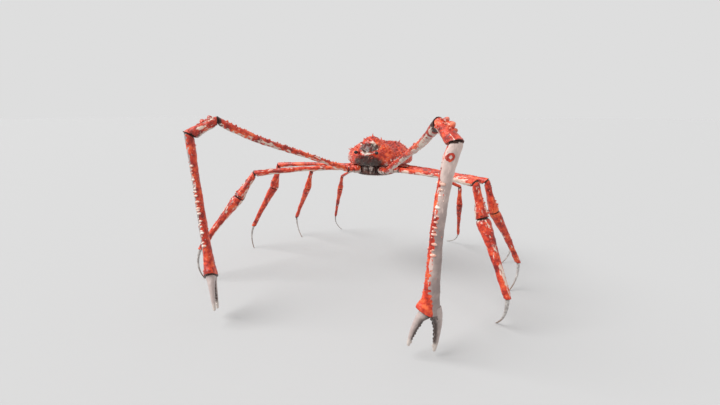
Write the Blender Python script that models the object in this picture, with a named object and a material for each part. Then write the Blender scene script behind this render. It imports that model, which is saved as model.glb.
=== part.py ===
"""A Japanese spider crab, Macrocheira kaempferi: a large adult male at life size, standing still.

The crab faces -Y, its left side is +X, and it stands on the floor at z = 0. Each shell piece that
has a name of its own is one solid: the carapace, sternum, abdomen, eyes, feelers and mouth plates,
and the five pieces of each of its ten limbs.
"""

import math
import random
from dataclasses import dataclass

import bmesh
import bpy
from mathutils import Matrix, Vector

# Body sizes, in metres. Heights in the body are measured from its centre.
BODY_HEIGHT = 0.613
GAP = 0.0003
CARAPACE_HALF_LENGTH = 0.180
CARAPACE_HALF_WIDTH = 0.170
CARAPACE_TOP = 0.076
CARAPACE_FLOOR = -0.0222
CARAPACE_UNDERTURN = math.radians(112)
SHELL_TURNS = 30
SHELL_RINGS = 9

# The carapace's raised regions: place across, place along, height, reach.
HUMPS = (
    ("gastric", 0.000, -0.108, 0.056, 0.052),
    ("cardiac", 0.000, 0.062, 0.015, 0.034),
    ("branchial", 0.088, 0.052, 0.022, 0.048),
    ("hepatic", 0.085, -0.082, 0.012, 0.024),
)
# The grooves between those regions: place across, place along, depth, reach.
GROOVES = (
    ("cervical", 0.062, -0.028, 0.014, 0.024),
    ("cardiac_side", 0.036, 0.070, 0.012, 0.016),
)

# The sternum is a prism with one flat socket for each limb: which way it faces, and how far out.
SOCKETS = {
    "claw": (53.0, 0.1272),
    "leg_1": (21.7, 0.1092),
    "leg_2": (0.0, 0.0980),
    "leg_3": (-21.7, 0.1092),
    "leg_4": (-53.0, 0.1272),
}
STERNUM_END = 0.132
STERNUM_TOP = CARAPACE_FLOOR - GAP
STERNUM_EDGE = -0.068
STERNUM_BOTTOM = -0.080
STERNUM_INSET = 0.82
SOCKET_HEIGHT = -0.047

# Where each limb's long piece starts, on the left side, from the body's centre.
ROOTS = {
    "claw": (0.104, -0.164, -0.048),
    "leg_1": (0.147, -0.085, -0.048),
    "leg_2": (0.157, -0.003, -0.048),
    "leg_3": (0.147, 0.077, -0.048),
    "leg_4": (0.107, 0.152, -0.048),
}
# Lengths of the merus, carpus and propodus or palm.
LENGTHS = {
    "claw": (0.68, 0.13, 0.59),
    "leg_1": (0.48, 0.15, 0.33),
    "leg_2": (0.455, 0.145, 0.32),
    "leg_3": (0.435, 0.135, 0.30),
    "leg_4": (0.385, 0.12, 0.265),
}
# Thickness of each leg's merus at its middle, which the other pieces follow.
THICKNESS = {"leg_1": 0.028, "leg_2": 0.024, "leg_3": 0.020, "leg_4": 0.016}

# The pose: for each piece its swing forward from straight out, and its rise, in degrees.
POSE = {
    ("claw", "left"): ((56, 22), (50, -29), (172, -84)),
    ("claw", "right"): ((53, 22), (52, -27), (150, -76)),
    ("leg_1", "left"): ((33, 0), (22, -74), (45, -58), (58, -117)),
    ("leg_1", "right"): ((27, -3), (38, -55), (45, -51), (44, -93)),
    ("leg_2", "left"): ((22, -2), (-23, -73), (-45, -58), (-45, -107)),
    ("leg_2", "right"): ((1, -2), (-15, -70), (-6, -56), (61, -88)),
    ("leg_3", "left"): ((-23, -11), (-22, -75), (-40, -59), (-40, -122)),
    ("leg_3", "right"): ((-24, -10), (-31, -66), (-33, -53), (-30, -119)),
    ("leg_4", "left"): ((-40, -22), (-93, -75), (-98, -58), (-136, -34)),
    ("leg_4", "right"): ((-40, -19), (-56, -51), (-50, -59), (-101, -57)),
}
# Which way each claw's moving finger lies from its fixed one, in degrees from +X.
CLAW_SPREAD = {"left": 202, "right": 306}

# Profiles run from the body outward: share of the length, then width, as shares of the thickness.
COXA_PROFILE = ((0, 1.40), (0.15, 1.50), (0.40, 1.46), (0.55, 1.12), (0.80, 1.16), (1, 1.04))
MERUS_PROFILE = (
    (0, 0.98), (0.04, 1.12), (0.12, 1.02), (0.30, 0.98), (0.55, 1.05), (0.78, 1.16),
    (0.93, 1.38), (1, 1.28),
)
CARPUS_PROFILE = (
    (0, 1.18), (0.10, 1.34), (0.30, 1.26), (0.58, 1.56), (0.84, 2.10), (0.95, 2.28), (1, 2.18),
)
PROPODUS_PROFILE = (
    (0, 2.06), (0.05, 2.24), (0.14, 2.10), (0.30, 1.70), (0.55, 1.36), (0.80, 1.15),
    (0.93, 1.24), (1, 1.04),
)
NEEDLE_PROFILE = ((0, 0.66), (0.10, 0.62), (0.32, 0.50), (0.60, 0.36), (0.85, 0.25), (1, 0.20))
LEG_FLATNESS = 0.88
LEG_SIDES = 10
NEEDLE_SIDES = 8
NEEDLE_BOW = 0.13

# The claw limb's profiles: share of the length, then width in metres.
CLAW_COXA_PROFILE = (
    (0, 0.040), (0.15, 0.042), (0.40, 0.040), (0.55, 0.031), (0.80, 0.032), (1, 0.028),
)
CLAW_MERUS_PROFILE = (
    (0, 0.026), (0.04, 0.029), (0.15, 0.026), (0.35, 0.028), (0.58, 0.032), (0.78, 0.036),
    (0.93, 0.042), (1, 0.040),
)
CLAW_CARPUS_PROFILE = (
    (0, 0.038), (0.12, 0.044), (0.35, 0.044), (0.68, 0.051), (0.92, 0.059), (1, 0.056),
)
PALM_PROFILE = (
    (0, 0.050), (0.04, 0.055), (0.12, 0.048), (0.30, 0.045), (0.52, 0.046), (0.72, 0.050),
    (0.86, 0.057), (0.95, 0.072), (1, 0.078),
)
CLAW_SIDES = 12
PALM_FLATNESS = 0.70
CLAW_MERUS_SAG = -0.015
CLAW_MERUS_SAG_PLACE = 0.72
PALM_BOW = {"left": 0.017, "right": 0.003}
PALM_BOW_PLACE = 0.36
PALM_END_SLANT = 22.0
FINGER_LENGTH = 0.140
FINGER_PROFILE = ((0, 0.032), (0.15, 0.029), (0.40, 0.024), (0.70, 0.017), (0.92, 0.011), (1, 0.007))
FINGER_FLATNESS = 0.72
FIXED_OFFSET = 0.025
FIXED_OPENING = 5.0
FIXED_ROOT = 0.034
MOVING_OFFSET = 0.018
MOVING_OPENING = 16.0
FINGER_BOW = 0.007
FIXED_TEETH = (0.42, 0.53, 0.64, 0.75, 0.85)
MOVING_TEETH = (0.24, 0.37, 0.50, 0.63, 0.76)
TOOTH_LENGTH = 0.011
TOOTH_RADIUS = 0.0055

# Rows of blunt knobs along each palm: how far round from its upper edge, how many, and their size.
KNOB_ROWS = ((-38, 15, 0.0075), (24, 11, 0.0065))
KNOB_FIRST = 0.06
KNOB_LAST = 0.90
# Small spines along the top of each claw merus, and low bumps on the legs' carpus and propodus.
MERUS_SPINES = 9
MERUS_SPINE_LENGTH = 0.010
LEG_BUMPS = {"merus": 0, "carpus": 3, "propodus": 4}
CARPUS_BUMPS = 6
# Large blunt knobs on the outer side of each claw's carpus: share of its length, turn, radius.
CARPUS_KNOBS = ((0.14, 52, 0.0105), (0.26, 22, 0.0130), (0.40, 44, 0.0120), (0.50, 14, 0.0095))
# How deep a knob's middle lies in the shell, as a share of its radius.
KNOB_SINK = 0.2
# A spine's rings below its point: share of its length, and share of its base radius.
SPIKE_TAPER = ((0, 1.0), (0.5, 0.62))
LEG_BOWS = {"merus": 0.016, "carpus": 0.0, "propodus": 0.012}
# Within this many widths of an end, a piece's rings lean over to the plane of its joint.
END_LEAN = 1.6

# Spines of the carapace: place across, place along, length, base radius, lean outward, lean forward.
SHELL_SPINES = (
    (0.014, -0.158, 0.040, 0.0080, 0.30, 1.60),
    (0.042, -0.120, 0.018, 0.0055, 0.30, 1.10),
    (0.074, -0.110, 0.020, 0.0060, 0.80, 0.90),
    (0.096, -0.098, 0.022, 0.0065, 1.20, 0.40),
    (0.126, -0.058, 0.018, 0.0060, 1.20, 0.10),
    (0.150, -0.012, 0.018, 0.0060, 1.30, 0.00),
    (0.158, 0.040, 0.020, 0.0065, 1.30, -0.15),
    (0.140, 0.094, 0.018, 0.0060, 1.10, -0.50),
    (0.100, 0.138, 0.016, 0.0055, 0.70, -0.90),
    (0.046, 0.162, 0.014, 0.0050, 0.30, -1.20),
    (0.030, -0.110, 0.014, 0.0060, 0.15, 0.20),
    (0.052, -0.062, 0.013, 0.0060, 0.30, 0.05),
    (0.086, 0.020, 0.015, 0.0062, 0.30, 0.00),
    (0.092, 0.072, 0.016, 0.0062, 0.30, -0.10),
    (0.048, 0.108, 0.012, 0.0055, 0.15, -0.30),
)
MIDLINE_SPINES = (
    (-0.128, 0.014, 0.0060), (-0.084, 0.015, 0.0064), (-0.034, 0.012, 0.0058),
    (0.050, 0.016, 0.0066), (0.092, 0.013, 0.0058), (0.136, 0.012, 0.0052),
)
# The face, where the eyes and feelers stand, is kept clear of tubercles.
FACE_DEPTH = -0.095
FACE_HALF_WIDTH = 0.075
FACE_EDGE = -0.132
# Low rounded tubercles between the spines, spread evenly by a seeded draw.
TUBERCLES = 70
TUBERCLE_SPACING = 0.021
TUBERCLE_RADIUS = (0.0040, 0.0062)

# The face's organs stand on short bosses of the carapace: each one's place across and up from the
# body's centre, its way on the left side, how far the boss stands out, its length and its bow.
ORGANS = {
    "eye": ((0.030, 0.034), (0.28, -0.93, 0.12), 0.007, 0.030, 0.0),
    "antenna": ((0.012, 0.014), (0.20, -0.95, 0.05), 0.005, 0.110, 0.10),
}
ORGAN_PROFILES = {
    "eye": ((0, 0.012), (0.35, 0.010), (0.55, 0.015), (0.75, 0.018), (0.92, 0.012), (1, 0.005)),
    "antenna": (
        (0, 0.0070), (0.12, 0.0064), (0.22, 0.0036), (0.5, 0.0026), (0.8, 0.0018), (1, 0.0012),
    ),
}
BOSS_LENGTH = 0.035
BOSS_WIDENING = 1.3

# The outer mouth plates hang in front of the sternum.
MOUTH_WIDTH = 0.031
MOUTH_TOP = -0.026
MOUTH_BOTTOM = -0.066
MOUTH_THICKNESS = 0.011
MOUTH_CLEFT = 0.0012
MOUTH_BEVEL = 0.0035
MOUTH_PROFILE = ((0, 0.55), (0.12, 0.9), (0.45, 1.0), (0.8, 0.92), (1, 0.6))

# The abdomen, folded forward under the sternum.
ABDOMEN_BACK = 0.104
ABDOMEN_FRONT = -0.040
ABDOMEN_THICKNESS = 0.008
ABDOMEN_KEEL = 0.7
ABDOMEN_PROFILE = (
    (0, 0.044), (0.2, 0.060), (0.42, 0.056), (0.62, 0.046), (0.8, 0.036), (0.93, 0.026), (1, 0.012),
)

SHELL_RED = (0.72, 0.085, 0.030)
SHELL_PALE = (0.52, 0.37, 0.33)
NEEDLE_GREY = (0.45, 0.42, 0.39)
EYE_BLACK = (0.010, 0.008, 0.008)


@dataclass
class Tube:
    """A tapered tube between two points, bowed to one side, with each end cut on a plane."""

    start: Vector
    end: Vector
    across: Vector
    up: Vector
    profile: tuple
    flatness: float
    bow: Vector
    start_cut: Vector
    end_cut: Vector
    start_gap: float = GAP / 2
    end_gap: float = GAP / 2
    bow_place: float = 0.5

    def centre(self, share):
        """The middle line: straight, but for a bow that is deepest at its place."""
        before = max(1, self.bow_place / (1 - self.bow_place))
        after = max(1, (1 - self.bow_place) / self.bow_place)
        depth = share**before * (1 - share) ** after
        deepest = self.bow_place**before * (1 - self.bow_place) ** after
        return self.start.lerp(self.end, share) + self.bow * (depth / deepest)

    def width(self, share):
        """The width at this share of the length, straight between the profile's stations."""
        for (low, wide), (high, next_wide) in zip(self.profile, self.profile[1:]):
            if share <= high:
                return wide + (next_wide - wide) * (share - low) / (high - low)
        return self.profile[-1][1]

    def reach(self, share, turn):
        """From the centre line to the surface."""
        half = self.width(share) / 2
        sideways = self.across * (half * math.cos(turn))
        return sideways + self.up * (half * self.flatness * math.sin(turn))

    def point(self, share, turn):
        return self.centre(share) + self.reach(share, turn)


def direction(side, swing, rise):
    """The way that a limb piece points, for a swing forward and a rise in degrees."""
    swing = math.radians(swing)
    rise = math.radians(rise)
    out = 1 if side == "left" else -1
    level = math.cos(rise)
    return Vector((out * math.cos(swing) * level, -math.sin(swing) * level, math.sin(rise)))


def frame_of(side, swing, rise):
    """The piece's level cross direction, and the outward one square to both."""
    out = 1 if side == "left" else -1
    across = Vector((out * math.sin(math.radians(swing)), math.cos(math.radians(swing)), 0))
    return across, direction(side, swing, rise).cross(across) * out


def scaled(profile, size):
    return tuple((share, width * size) for share, width in profile)


def material(name, colour, roughness):
    made = bpy.data.materials.new(name)
    made.use_nodes = True
    shader = made.node_tree.nodes["Principled BSDF"]
    shader.inputs["Base Color"].default_value = (*colour, 1)
    shader.inputs["Roughness"].default_value = roughness
    shader.inputs["Metallic"].default_value = 0.0
    return made


def add_object(name, bm, origin, finish):
    """Turns a closed bmesh into an object whose origin is the joint that it hangs from."""
    bmesh.ops.recalc_face_normals(bm, faces=bm.faces)
    bmesh.ops.translate(bm, verts=bm.verts, vec=-origin)
    mesh = bpy.data.meshes.new(name)
    bm.to_mesh(mesh)
    bm.free()
    mesh.shade_smooth()
    mesh.set_sharp_from_angle(angle=math.radians(40))
    made = bpy.data.objects.new(name, mesh)
    made.location = origin
    bpy.context.scene.collection.objects.link(made)
    if finish:
        mesh.materials.append(material(name + "_finish", *finish))
    return made


def close_rings(bm, rings):
    """Joins neighbouring rings with faces, and caps the first and the last."""
    for ring, following in zip(rings, rings[1:]):
        for i, corner in enumerate(ring):
            after = (i + 1) % len(ring)
            bm.faces.new((corner, ring[after], following[after], following[i]))
    bm.faces.new(rings[0])
    bm.faces.new(rings[-1])


def tube_mesh(tube, sides):
    """The tube as a mesh. Rings near an end tilt towards that end's plane, and the last lies in it."""
    bm = bmesh.new()
    axis = (tube.end - tube.start).normalized()
    length = (tube.end - tube.start).length
    fade = min(length, END_LEAN * max(width for _, width in tube.profile))
    rings = []
    for share, _ in tube.profile:
        lean_start = max(0, 1 - share * length / fade)
        lean_end = max(0, 1 - (1 - share) * length / fade)
        ring = []
        for i in range(sides):
            reach = tube.reach(share, 2 * math.pi * i / sides)
            slide = lean_start * (tube.start_gap - reach.dot(tube.start_cut)) / axis.dot(tube.start_cut)
            slide += lean_end * (-tube.end_gap - reach.dot(tube.end_cut)) / axis.dot(tube.end_cut)
            ring.append(bm.verts.new(tube.centre(share) + reach + axis * slide))
        rings.append(ring)
    close_rings(bm, rings)
    return bm


def spike_mesh(root, way, length, radius, sides=5):
    """A tapered spine from a root sunk in the shell, with one ring part way up and a point."""
    bm = bmesh.new()
    turn = way.to_track_quat("Z", "Y").to_matrix()
    rings = []
    for share, size in SPIKE_TAPER:
        ring = []
        for i in range(sides):
            angle = 2 * math.pi * i / sides
            wide = radius * size
            spot = Vector((wide * math.cos(angle), wide * math.sin(angle), length * share))
            ring.append(bm.verts.new(root + turn @ spot))
        rings.append(ring)
    tip = bm.verts.new(root + way * length)
    for i, corner in enumerate(rings[0]):
        after = (i + 1) % sides
        bm.faces.new((corner, rings[0][after], rings[1][after], rings[1][i]))
        bm.faces.new((rings[1][i], rings[1][after], tip))
    bm.faces.new(rings[0])
    return bm


def knob_mesh(spot, facing, radius, turn, height=0.75):
    """A low rounded bump of twenty faces, sunk a little below its middle."""
    bm = bmesh.new()
    place = Matrix.Translation(spot - facing * (radius * KNOB_SINK))
    stretch = Matrix.Diagonal((radius, radius, radius * height, 1))
    aim = facing.to_track_quat("Z", "Y").to_matrix().to_4x4() @ Matrix.Rotation(turn, 4, "Z")
    bmesh.ops.create_icosphere(bm, subdivisions=1, radius=1, matrix=place @ aim @ stretch)
    return bm


def palm_knobs(palm, side):
    """Rows of blunt knobs along the palm's upper edge, larger towards the fingers."""
    draw = random.Random(11)
    knobs = []
    for turn, count, radius in KNOB_ROWS:
        turn = math.radians(turn if side == "left" else -turn)
        for k in range(count):
            step = max(0, (k + draw.uniform(-0.2, 0.2)) / (count - 1))
            share = KNOB_FIRST + (KNOB_LAST - KNOB_FIRST) * step
            round_about = turn + draw.uniform(-0.12, 0.12)
            facing = palm.reach(share, round_about).normalized()
            size = radius * (0.75 + 0.35 * share) * draw.uniform(0.85, 1.15)
            spot = palm.point(share, round_about)
            knobs.append(knob_mesh(spot, facing, size, draw.uniform(0, 1), 1.0))
    return knobs


def finger_teeth(finger, inward, thick, shares):
    """Blunt biting teeth along the edge of a finger that faces the other one."""
    draw = random.Random(7)
    teeth = []
    axis = (finger.end - finger.start).normalized()
    facing = (inward - axis * inward.dot(axis)).normalized()
    for share in shares:
        size = draw.uniform(0.8, 1.15) * (1.15 - 0.5 * share)
        edge = finger.centre(share) + facing * (finger.width(share) / 2)
        lean = (facing + thick * draw.uniform(-0.2, 0.2)).normalized()
        root = edge - lean * TOOTH_RADIUS
        length = (TOOTH_LENGTH + TOOTH_RADIUS) * size
        teeth.append(spike_mesh(root, lean, length, TOOTH_RADIUS * size))
    return teeth


def merus_spines(merus):
    """A row of small spines along the top of the claw's merus."""
    draw = random.Random(5)
    spines = []
    axis = (merus.end - merus.start).normalized()
    for k in range(MERUS_SPINES):
        share = 0.10 + 0.82 * (k + draw.uniform(-0.25, 0.25)) / (MERUS_SPINES - 1)
        turn = math.pi / 2 + draw.uniform(-0.5, 0.5)
        facing = (merus.reach(share, turn).normalized() + axis * 0.3).normalized()
        radius = 0.22 * merus.width(share) * draw.uniform(0.75, 1)
        root = merus.point(share, turn) - facing * radius
        length = MERUS_SPINE_LENGTH * draw.uniform(0.8, 1.2) + radius
        spines.append(spike_mesh(root, facing, length, radius))
    return spines


def carpus_knobs(carpus):
    """The claw carpus's cluster of large knobs on its outer side."""
    knobs = []
    for share, turn, radius in CARPUS_KNOBS:
        turn = math.radians(turn)
        facing = carpus.reach(share, turn).normalized()
        knobs.append(knob_mesh(carpus.point(share, turn), facing, radius, share, 1.0))
    return knobs


def leg_bumps(shape, count, seed):
    """A few low bumps, as worn legs have, on the outer side of a leg piece."""
    draw = random.Random(seed)
    bumps = []
    for k in range(count):
        share = 0.14 + 0.70 * (k + draw.uniform(0.2, 0.8)) / count
        turn = math.pi / 2 + draw.choice((-1, 1)) * draw.uniform(0.3, 1.3)
        radius = 0.20 * shape.width(share) * draw.uniform(0.8, 1.1)
        facing = shape.reach(share, turn).normalized()
        bumps.append(knob_mesh(shape.point(share, turn), facing, radius, draw.uniform(0, 1)))
    return bumps


def between(first, second):
    """The normal of the plane half way between two directions."""
    return (first.normalized() + second.normalized()).normalized()


def outline_width(along):
    """Half the carapace's width at a place from -1 at its front to 1 at its back: a pear's outline."""
    belly = math.sqrt(max(0, 1 - along * along))
    return CARAPACE_HALF_WIDTH * belly * (0.80 + 0.26 * along - 0.02 * along * along + 0.20 * belly)


def hump_height(x, y):
    """How far the regions and grooves raise or lower the dome at a place."""
    total = 0
    for parts, sign in ((HUMPS, 1), (GROOVES, -1)):
        for _, across, along, height, reach in parts:
            for side in {across, -across}:
                distance = (x - side) ** 2 + (y - along) ** 2
                total += sign * height * math.exp(-distance / (2 * reach * reach))
    return total


def shell_point(turn, tilt):
    """A point of the carapace: tilt runs from 0 at its top to CARAPACE_UNDERTURN at its lower rim."""
    along = -math.cos(turn)
    y = CARAPACE_HALF_LENGTH * along * math.sin(tilt)
    wide = outline_width(along)
    x = wide * math.sin(tilt) * (1 if math.sin(turn) >= 0 else -1)
    if tilt <= math.pi / 2:
        z = CARAPACE_TOP * math.cos(tilt) ** 0.85
        z += hump_height(x, y) * math.cos(tilt) ** 0.5
    else:
        z = CARAPACE_FLOOR * math.cos(tilt) / math.cos(CARAPACE_UNDERTURN)
    return Vector((x, y, z + BODY_HEIGHT))


def carapace_mesh():
    """The pear-shaped shell: rings round its top point, and a flat underside."""
    bm = bmesh.new()
    top = bm.verts.new(shell_point(0, 0))
    rings = []
    for k in range(1, SHELL_RINGS + 1):
        tilt = CARAPACE_UNDERTURN * k / SHELL_RINGS
        turns = [2 * math.pi * i / SHELL_TURNS for i in range(SHELL_TURNS)]
        rings.append([bm.verts.new(shell_point(turn, tilt)) for turn in turns])
    for i, corner in enumerate(rings[0]):
        bm.faces.new((corner, rings[0][(i + 1) % SHELL_TURNS], top))
    for ring, following in zip(rings, rings[1:]):
        for i, corner in enumerate(ring):
            after = (i + 1) % SHELL_TURNS
            bm.faces.new((corner, ring[after], following[after], following[i]))
    bm.faces.new(rings[-1])
    return bm


def build_carapace():
    origin = Vector((0, 0, BODY_HEIGHT))
    return add_object("carapace", carapace_mesh(), origin, (SHELL_RED, 0.45))


def shell_spot(carapace, x, y):
    """The place on the carapace straight above a point of its plan, and the way it faces there."""
    _, spot, facing, _ = carapace.ray_cast(Vector((x, y, 1)), Vector((0, 0, -1)))
    return spot + carapace.location, facing


def shell_armour(carapace):
    """The carapace's rostral horns, spines and tubercles, with their roots sunk in the shell."""
    pieces = []
    spots = []
    for x, y, length, radius, outward, forward in SHELL_SPINES:
        for out in (1, -1):
            spot, facing = shell_spot(carapace, out * x, y)
            way = (facing + Vector((out * outward, -forward, 0)) * 0.5).normalized()
            pieces.append(spike_mesh(spot - way * radius, way, length + radius, radius))
            spots.append((out * x, y))
    for y, length, radius in MIDLINE_SPINES:
        spot, facing = shell_spot(carapace, 0, y)
        pieces.append(spike_mesh(spot - facing * radius, facing, length + radius, radius))
        spots.append((0, y))
    draw = random.Random(3)
    made = 0
    while made < TUBERCLES:
        turn = draw.uniform(0, 2 * math.pi)
        away = math.sqrt(draw.uniform(0, 0.86))
        y = -CARAPACE_HALF_LENGTH * math.cos(turn) * away
        x = outline_width(-math.cos(turn)) * away * (1 if turn < math.pi else -1)
        if min(math.hypot(x - a, y - b) for a, b in spots) < TUBERCLE_SPACING * draw.uniform(0.7, 1):
            continue
        if abs(x) < FACE_HALF_WIDTH and y < FACE_EDGE:
            continue
        spot, facing = shell_spot(carapace, x, y)
        pieces.append(knob_mesh(spot, facing, draw.uniform(*TUBERCLE_RADIUS), draw.uniform(0, 1)))
        spots.append((x, y))
        made += 1
    return pieces


def socket_line(limb):
    """The outward normal of a limb's socket on the left side, and its distance from the middle."""
    turn, distance = SOCKETS[limb]
    return Vector((math.cos(math.radians(turn)), -math.sin(math.radians(turn)))), distance


def sternum_outline():
    """The corners of the sternum's left side from front to back, where neighbouring sockets meet."""
    lines = [(Vector((0, -1)), STERNUM_END)]
    lines += [socket_line(limb) for limb in SOCKETS]
    lines += [(Vector((0, 1)), STERNUM_END)]
    corners = []
    for (first, reach), (second, next_reach) in zip(lines, lines[1:]):
        scale = first.x * second.y - first.y * second.x
        x = (reach * second.y - next_reach * first.y) / scale
        y = (first.x * next_reach - second.x * reach) / scale
        corners.append(Vector((x, y)))
    return corners


def socket_centre(limb, side):
    """The middle of a limb's flat socket, and the way that it faces."""
    corners = sternum_outline()
    place = list(SOCKETS).index(limb)
    middle = (corners[place] + corners[place + 1]) / 2
    normal, _ = socket_line(limb)
    out = 1 if side == "left" else -1
    centre = Vector((out * middle.x, middle.y, BODY_HEIGHT + SOCKET_HEIGHT))
    return centre, Vector((out * normal.x, normal.y, 0))


def build_sternum():
    bm = bmesh.new()
    left = sternum_outline()
    outline = left + [Vector((-corner.x, corner.y)) for corner in reversed(left)]
    levels = ((STERNUM_TOP, 1), (STERNUM_EDGE, 1), (STERNUM_BOTTOM, STERNUM_INSET))
    rings = []
    for height, size in levels:
        rings.append([bm.verts.new((c.x * size, c.y * size, BODY_HEIGHT + height)) for c in outline])
    close_rings(bm, rings)
    origin = Vector((0, 0, BODY_HEIGHT + STERNUM_TOP))
    return add_object("sternum", bm, origin, (SHELL_PALE, 0.55))


def build_abdomen():
    """The narrow tail flap of a male, folded forward under the sternum."""
    bm = bmesh.new()
    top = BODY_HEIGHT + STERNUM_BOTTOM - GAP
    rings = []
    for share, width in ABDOMEN_PROFILE:
        y = ABDOMEN_BACK + (ABDOMEN_FRONT - ABDOMEN_BACK) * share
        half = width / 2
        keel = half * ABDOMEN_KEEL
        low = top - ABDOMEN_THICKNESS * (1 - 0.4 * share)
        spots = ((half, top), (keel, low), (-keel, low), (-half, top))
        rings.append([bm.verts.new((x, y, z)) for x, z in spots])
    close_rings(bm, rings)
    origin = Vector((0, ABDOMEN_BACK, top))
    return add_object("abdomen", bm, origin, (SHELL_PALE, 0.55))


def build_coxa(limb, side, merus_way):
    """The coxa and ischium: the short stout pieces between the sternum and the merus."""
    out = 1 if side == "left" else -1
    start, facing = socket_centre(limb, side)
    root = ROOTS[limb]
    end = Vector((out * root[0], root[1], BODY_HEIGHT + root[2]))
    axis = (end - start).normalized()
    across = Vector((0, 0, 1)).cross(axis).normalized()
    if limb == "claw":
        profile = CLAW_COXA_PROFILE
    else:
        profile = scaled(COXA_PROFILE, THICKNESS[limb])
    shape = Tube(
        start, end, across, axis.cross(across), profile, LEG_FLATNESS, Vector(),
        facing, between(axis, merus_way), start_gap=GAP,
    )
    add_object(f"{limb}_{side}_coxa", tube_mesh(shape, LEG_SIDES), start, (SHELL_RED, 0.5))
    return end, axis


def build_leg(limb, side):
    """A walking leg: merus, carpus and propodus, then a thin curved needle down to the floor."""
    pose = POSE[(limb, side)]
    ways = [direction(side, *turn) for turn in pose]
    here, way_before = build_coxa(limb, side, ways[0])
    size = THICKNESS[limb]
    pieces = (("merus", MERUS_PROFILE), ("carpus", CARPUS_PROFILE), ("propodus", PROPODUS_PROFILE))
    for k, (piece, profile) in enumerate(pieces):
        length = LENGTHS[limb][k]
        across, up = frame_of(side, *pose[k])
        end = here + ways[k] * length
        shape = Tube(
            here, end, across, up, scaled(profile, size), LEG_FLATNESS,
            up * (LEG_BOWS[piece] * length),
            between(way_before, ways[k]), between(ways[k], ways[k + 1]),
        )
        name = f"{limb}_{side}_{piece}"
        node = add_object(name, tube_mesh(shape, LEG_SIDES), here, (SHELL_RED, 0.45))
        if LEG_BUMPS[piece]:
            fuse(node, leg_bumps(shape, LEG_BUMPS[piece], name))
        here = end
        way_before = ways[k]
    needle_way = ways[3]
    end = here + needle_way * (here.z / -needle_way.z)
    across, up = frame_of(side, *pose[3])
    bow = (way_before - needle_way * way_before.dot(needle_way)).normalized()
    shape = Tube(
        here, end, across, up, scaled(NEEDLE_PROFILE, size), LEG_FLATNESS,
        bow * (NEEDLE_BOW * (end - here).length),
        between(way_before, needle_way), Vector((0, 0, -1)), end_gap=0,
    )
    add_object(f"{limb}_{side}_dactylus", tube_mesh(shape, NEEDLE_SIDES), here, (NEEDLE_GREY, 0.5))


def build_claw_limb(side):
    """The claw limb: merus, carpus, the long palm with its fixed finger, and the moving finger."""
    pose = POSE[("claw", side)]
    ways = [direction(side, *turn) for turn in pose]
    here, way_before = build_coxa("claw", side, ways[0])
    pieces = (("merus", CLAW_MERUS_PROFILE, CLAW_MERUS_SAG), ("carpus", CLAW_CARPUS_PROFILE, 0))
    for k, (piece, profile, sag) in enumerate(pieces):
        length = LENGTHS["claw"][k]
        across, up = frame_of(side, *pose[k])
        end = here + ways[k] * length
        shape = Tube(
            here, end, across, up, profile, LEG_FLATNESS, up * sag,
            between(way_before, ways[k]), between(ways[k], ways[k + 1]),
            bow_place=CLAW_MERUS_SAG_PLACE,
        )
        name = f"claw_{side}_{piece}"
        node = add_object(name, tube_mesh(shape, CLAW_SIDES), here, (SHELL_RED, 0.45))
        if piece == "merus":
            fuse(node, merus_spines(shape))
        else:
            fuse(node, carpus_knobs(shape) + leg_bumps(shape, CARPUS_BUMPS, side))
        here = end
        way_before = ways[k]
    palm_way = ways[2]
    spread = math.radians(CLAW_SPREAD[side])
    level = Vector((math.cos(spread), math.sin(spread), 0))
    towards = (level - palm_way * level.dot(palm_way)).normalized()
    thick = palm_way.cross(towards)
    end = here + palm_way * LENGTHS["claw"][2]
    slant = math.radians(PALM_END_SLANT)
    end_cut = palm_way * math.cos(slant) + towards * math.sin(slant)
    palm = Tube(
        here, end, towards, thick, PALM_PROFILE, PALM_FLATNESS, towards * PALM_BOW[side],
        between(way_before, palm_way), end_cut, bow_place=PALM_BOW_PLACE,
    )
    name = f"claw_{side}_palm"
    palm_node = add_object(name, tube_mesh(palm, CLAW_SIDES), here, (SHELL_RED, 0.45))
    fixed_turn = math.radians(FIXED_OPENING)
    fixed_way = palm_way * math.cos(fixed_turn) - towards * math.sin(fixed_turn)
    fixed_root = end - towards * FIXED_OFFSET - fixed_way * FIXED_ROOT
    fixed = Tube(
        fixed_root, fixed_root + fixed_way * (FINGER_LENGTH + FIXED_ROOT), towards, thick,
        FINGER_PROFILE, FINGER_FLATNESS, towards * -FINGER_BOW, fixed_way, fixed_way,
        start_gap=0, end_gap=0,
    )
    teeth = finger_teeth(fixed, towards, thick, FIXED_TEETH)
    fuse(palm_node, [tube_mesh(fixed, LEG_SIDES)] + palm_knobs(palm, side) + teeth)
    moving_turn = math.radians(MOVING_OPENING)
    moving_way = palm_way * math.cos(moving_turn) + towards * math.sin(moving_turn)
    moving_root = end + towards * MOVING_OFFSET - palm_way * (math.tan(slant) * MOVING_OFFSET)
    moving = Tube(
        moving_root, moving_root + moving_way * FINGER_LENGTH, towards, thick,
        FINGER_PROFILE, FINGER_FLATNESS, towards * FINGER_BOW, end_cut, moving_way, end_gap=0,
    )
    name = f"claw_{side}_dactylus"
    finger = add_object(name, tube_mesh(moving, LEG_SIDES), moving_root, (SHELL_PALE, 0.5))
    fuse(finger, finger_teeth(moving, -towards, thick, MOVING_TEETH))


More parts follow.
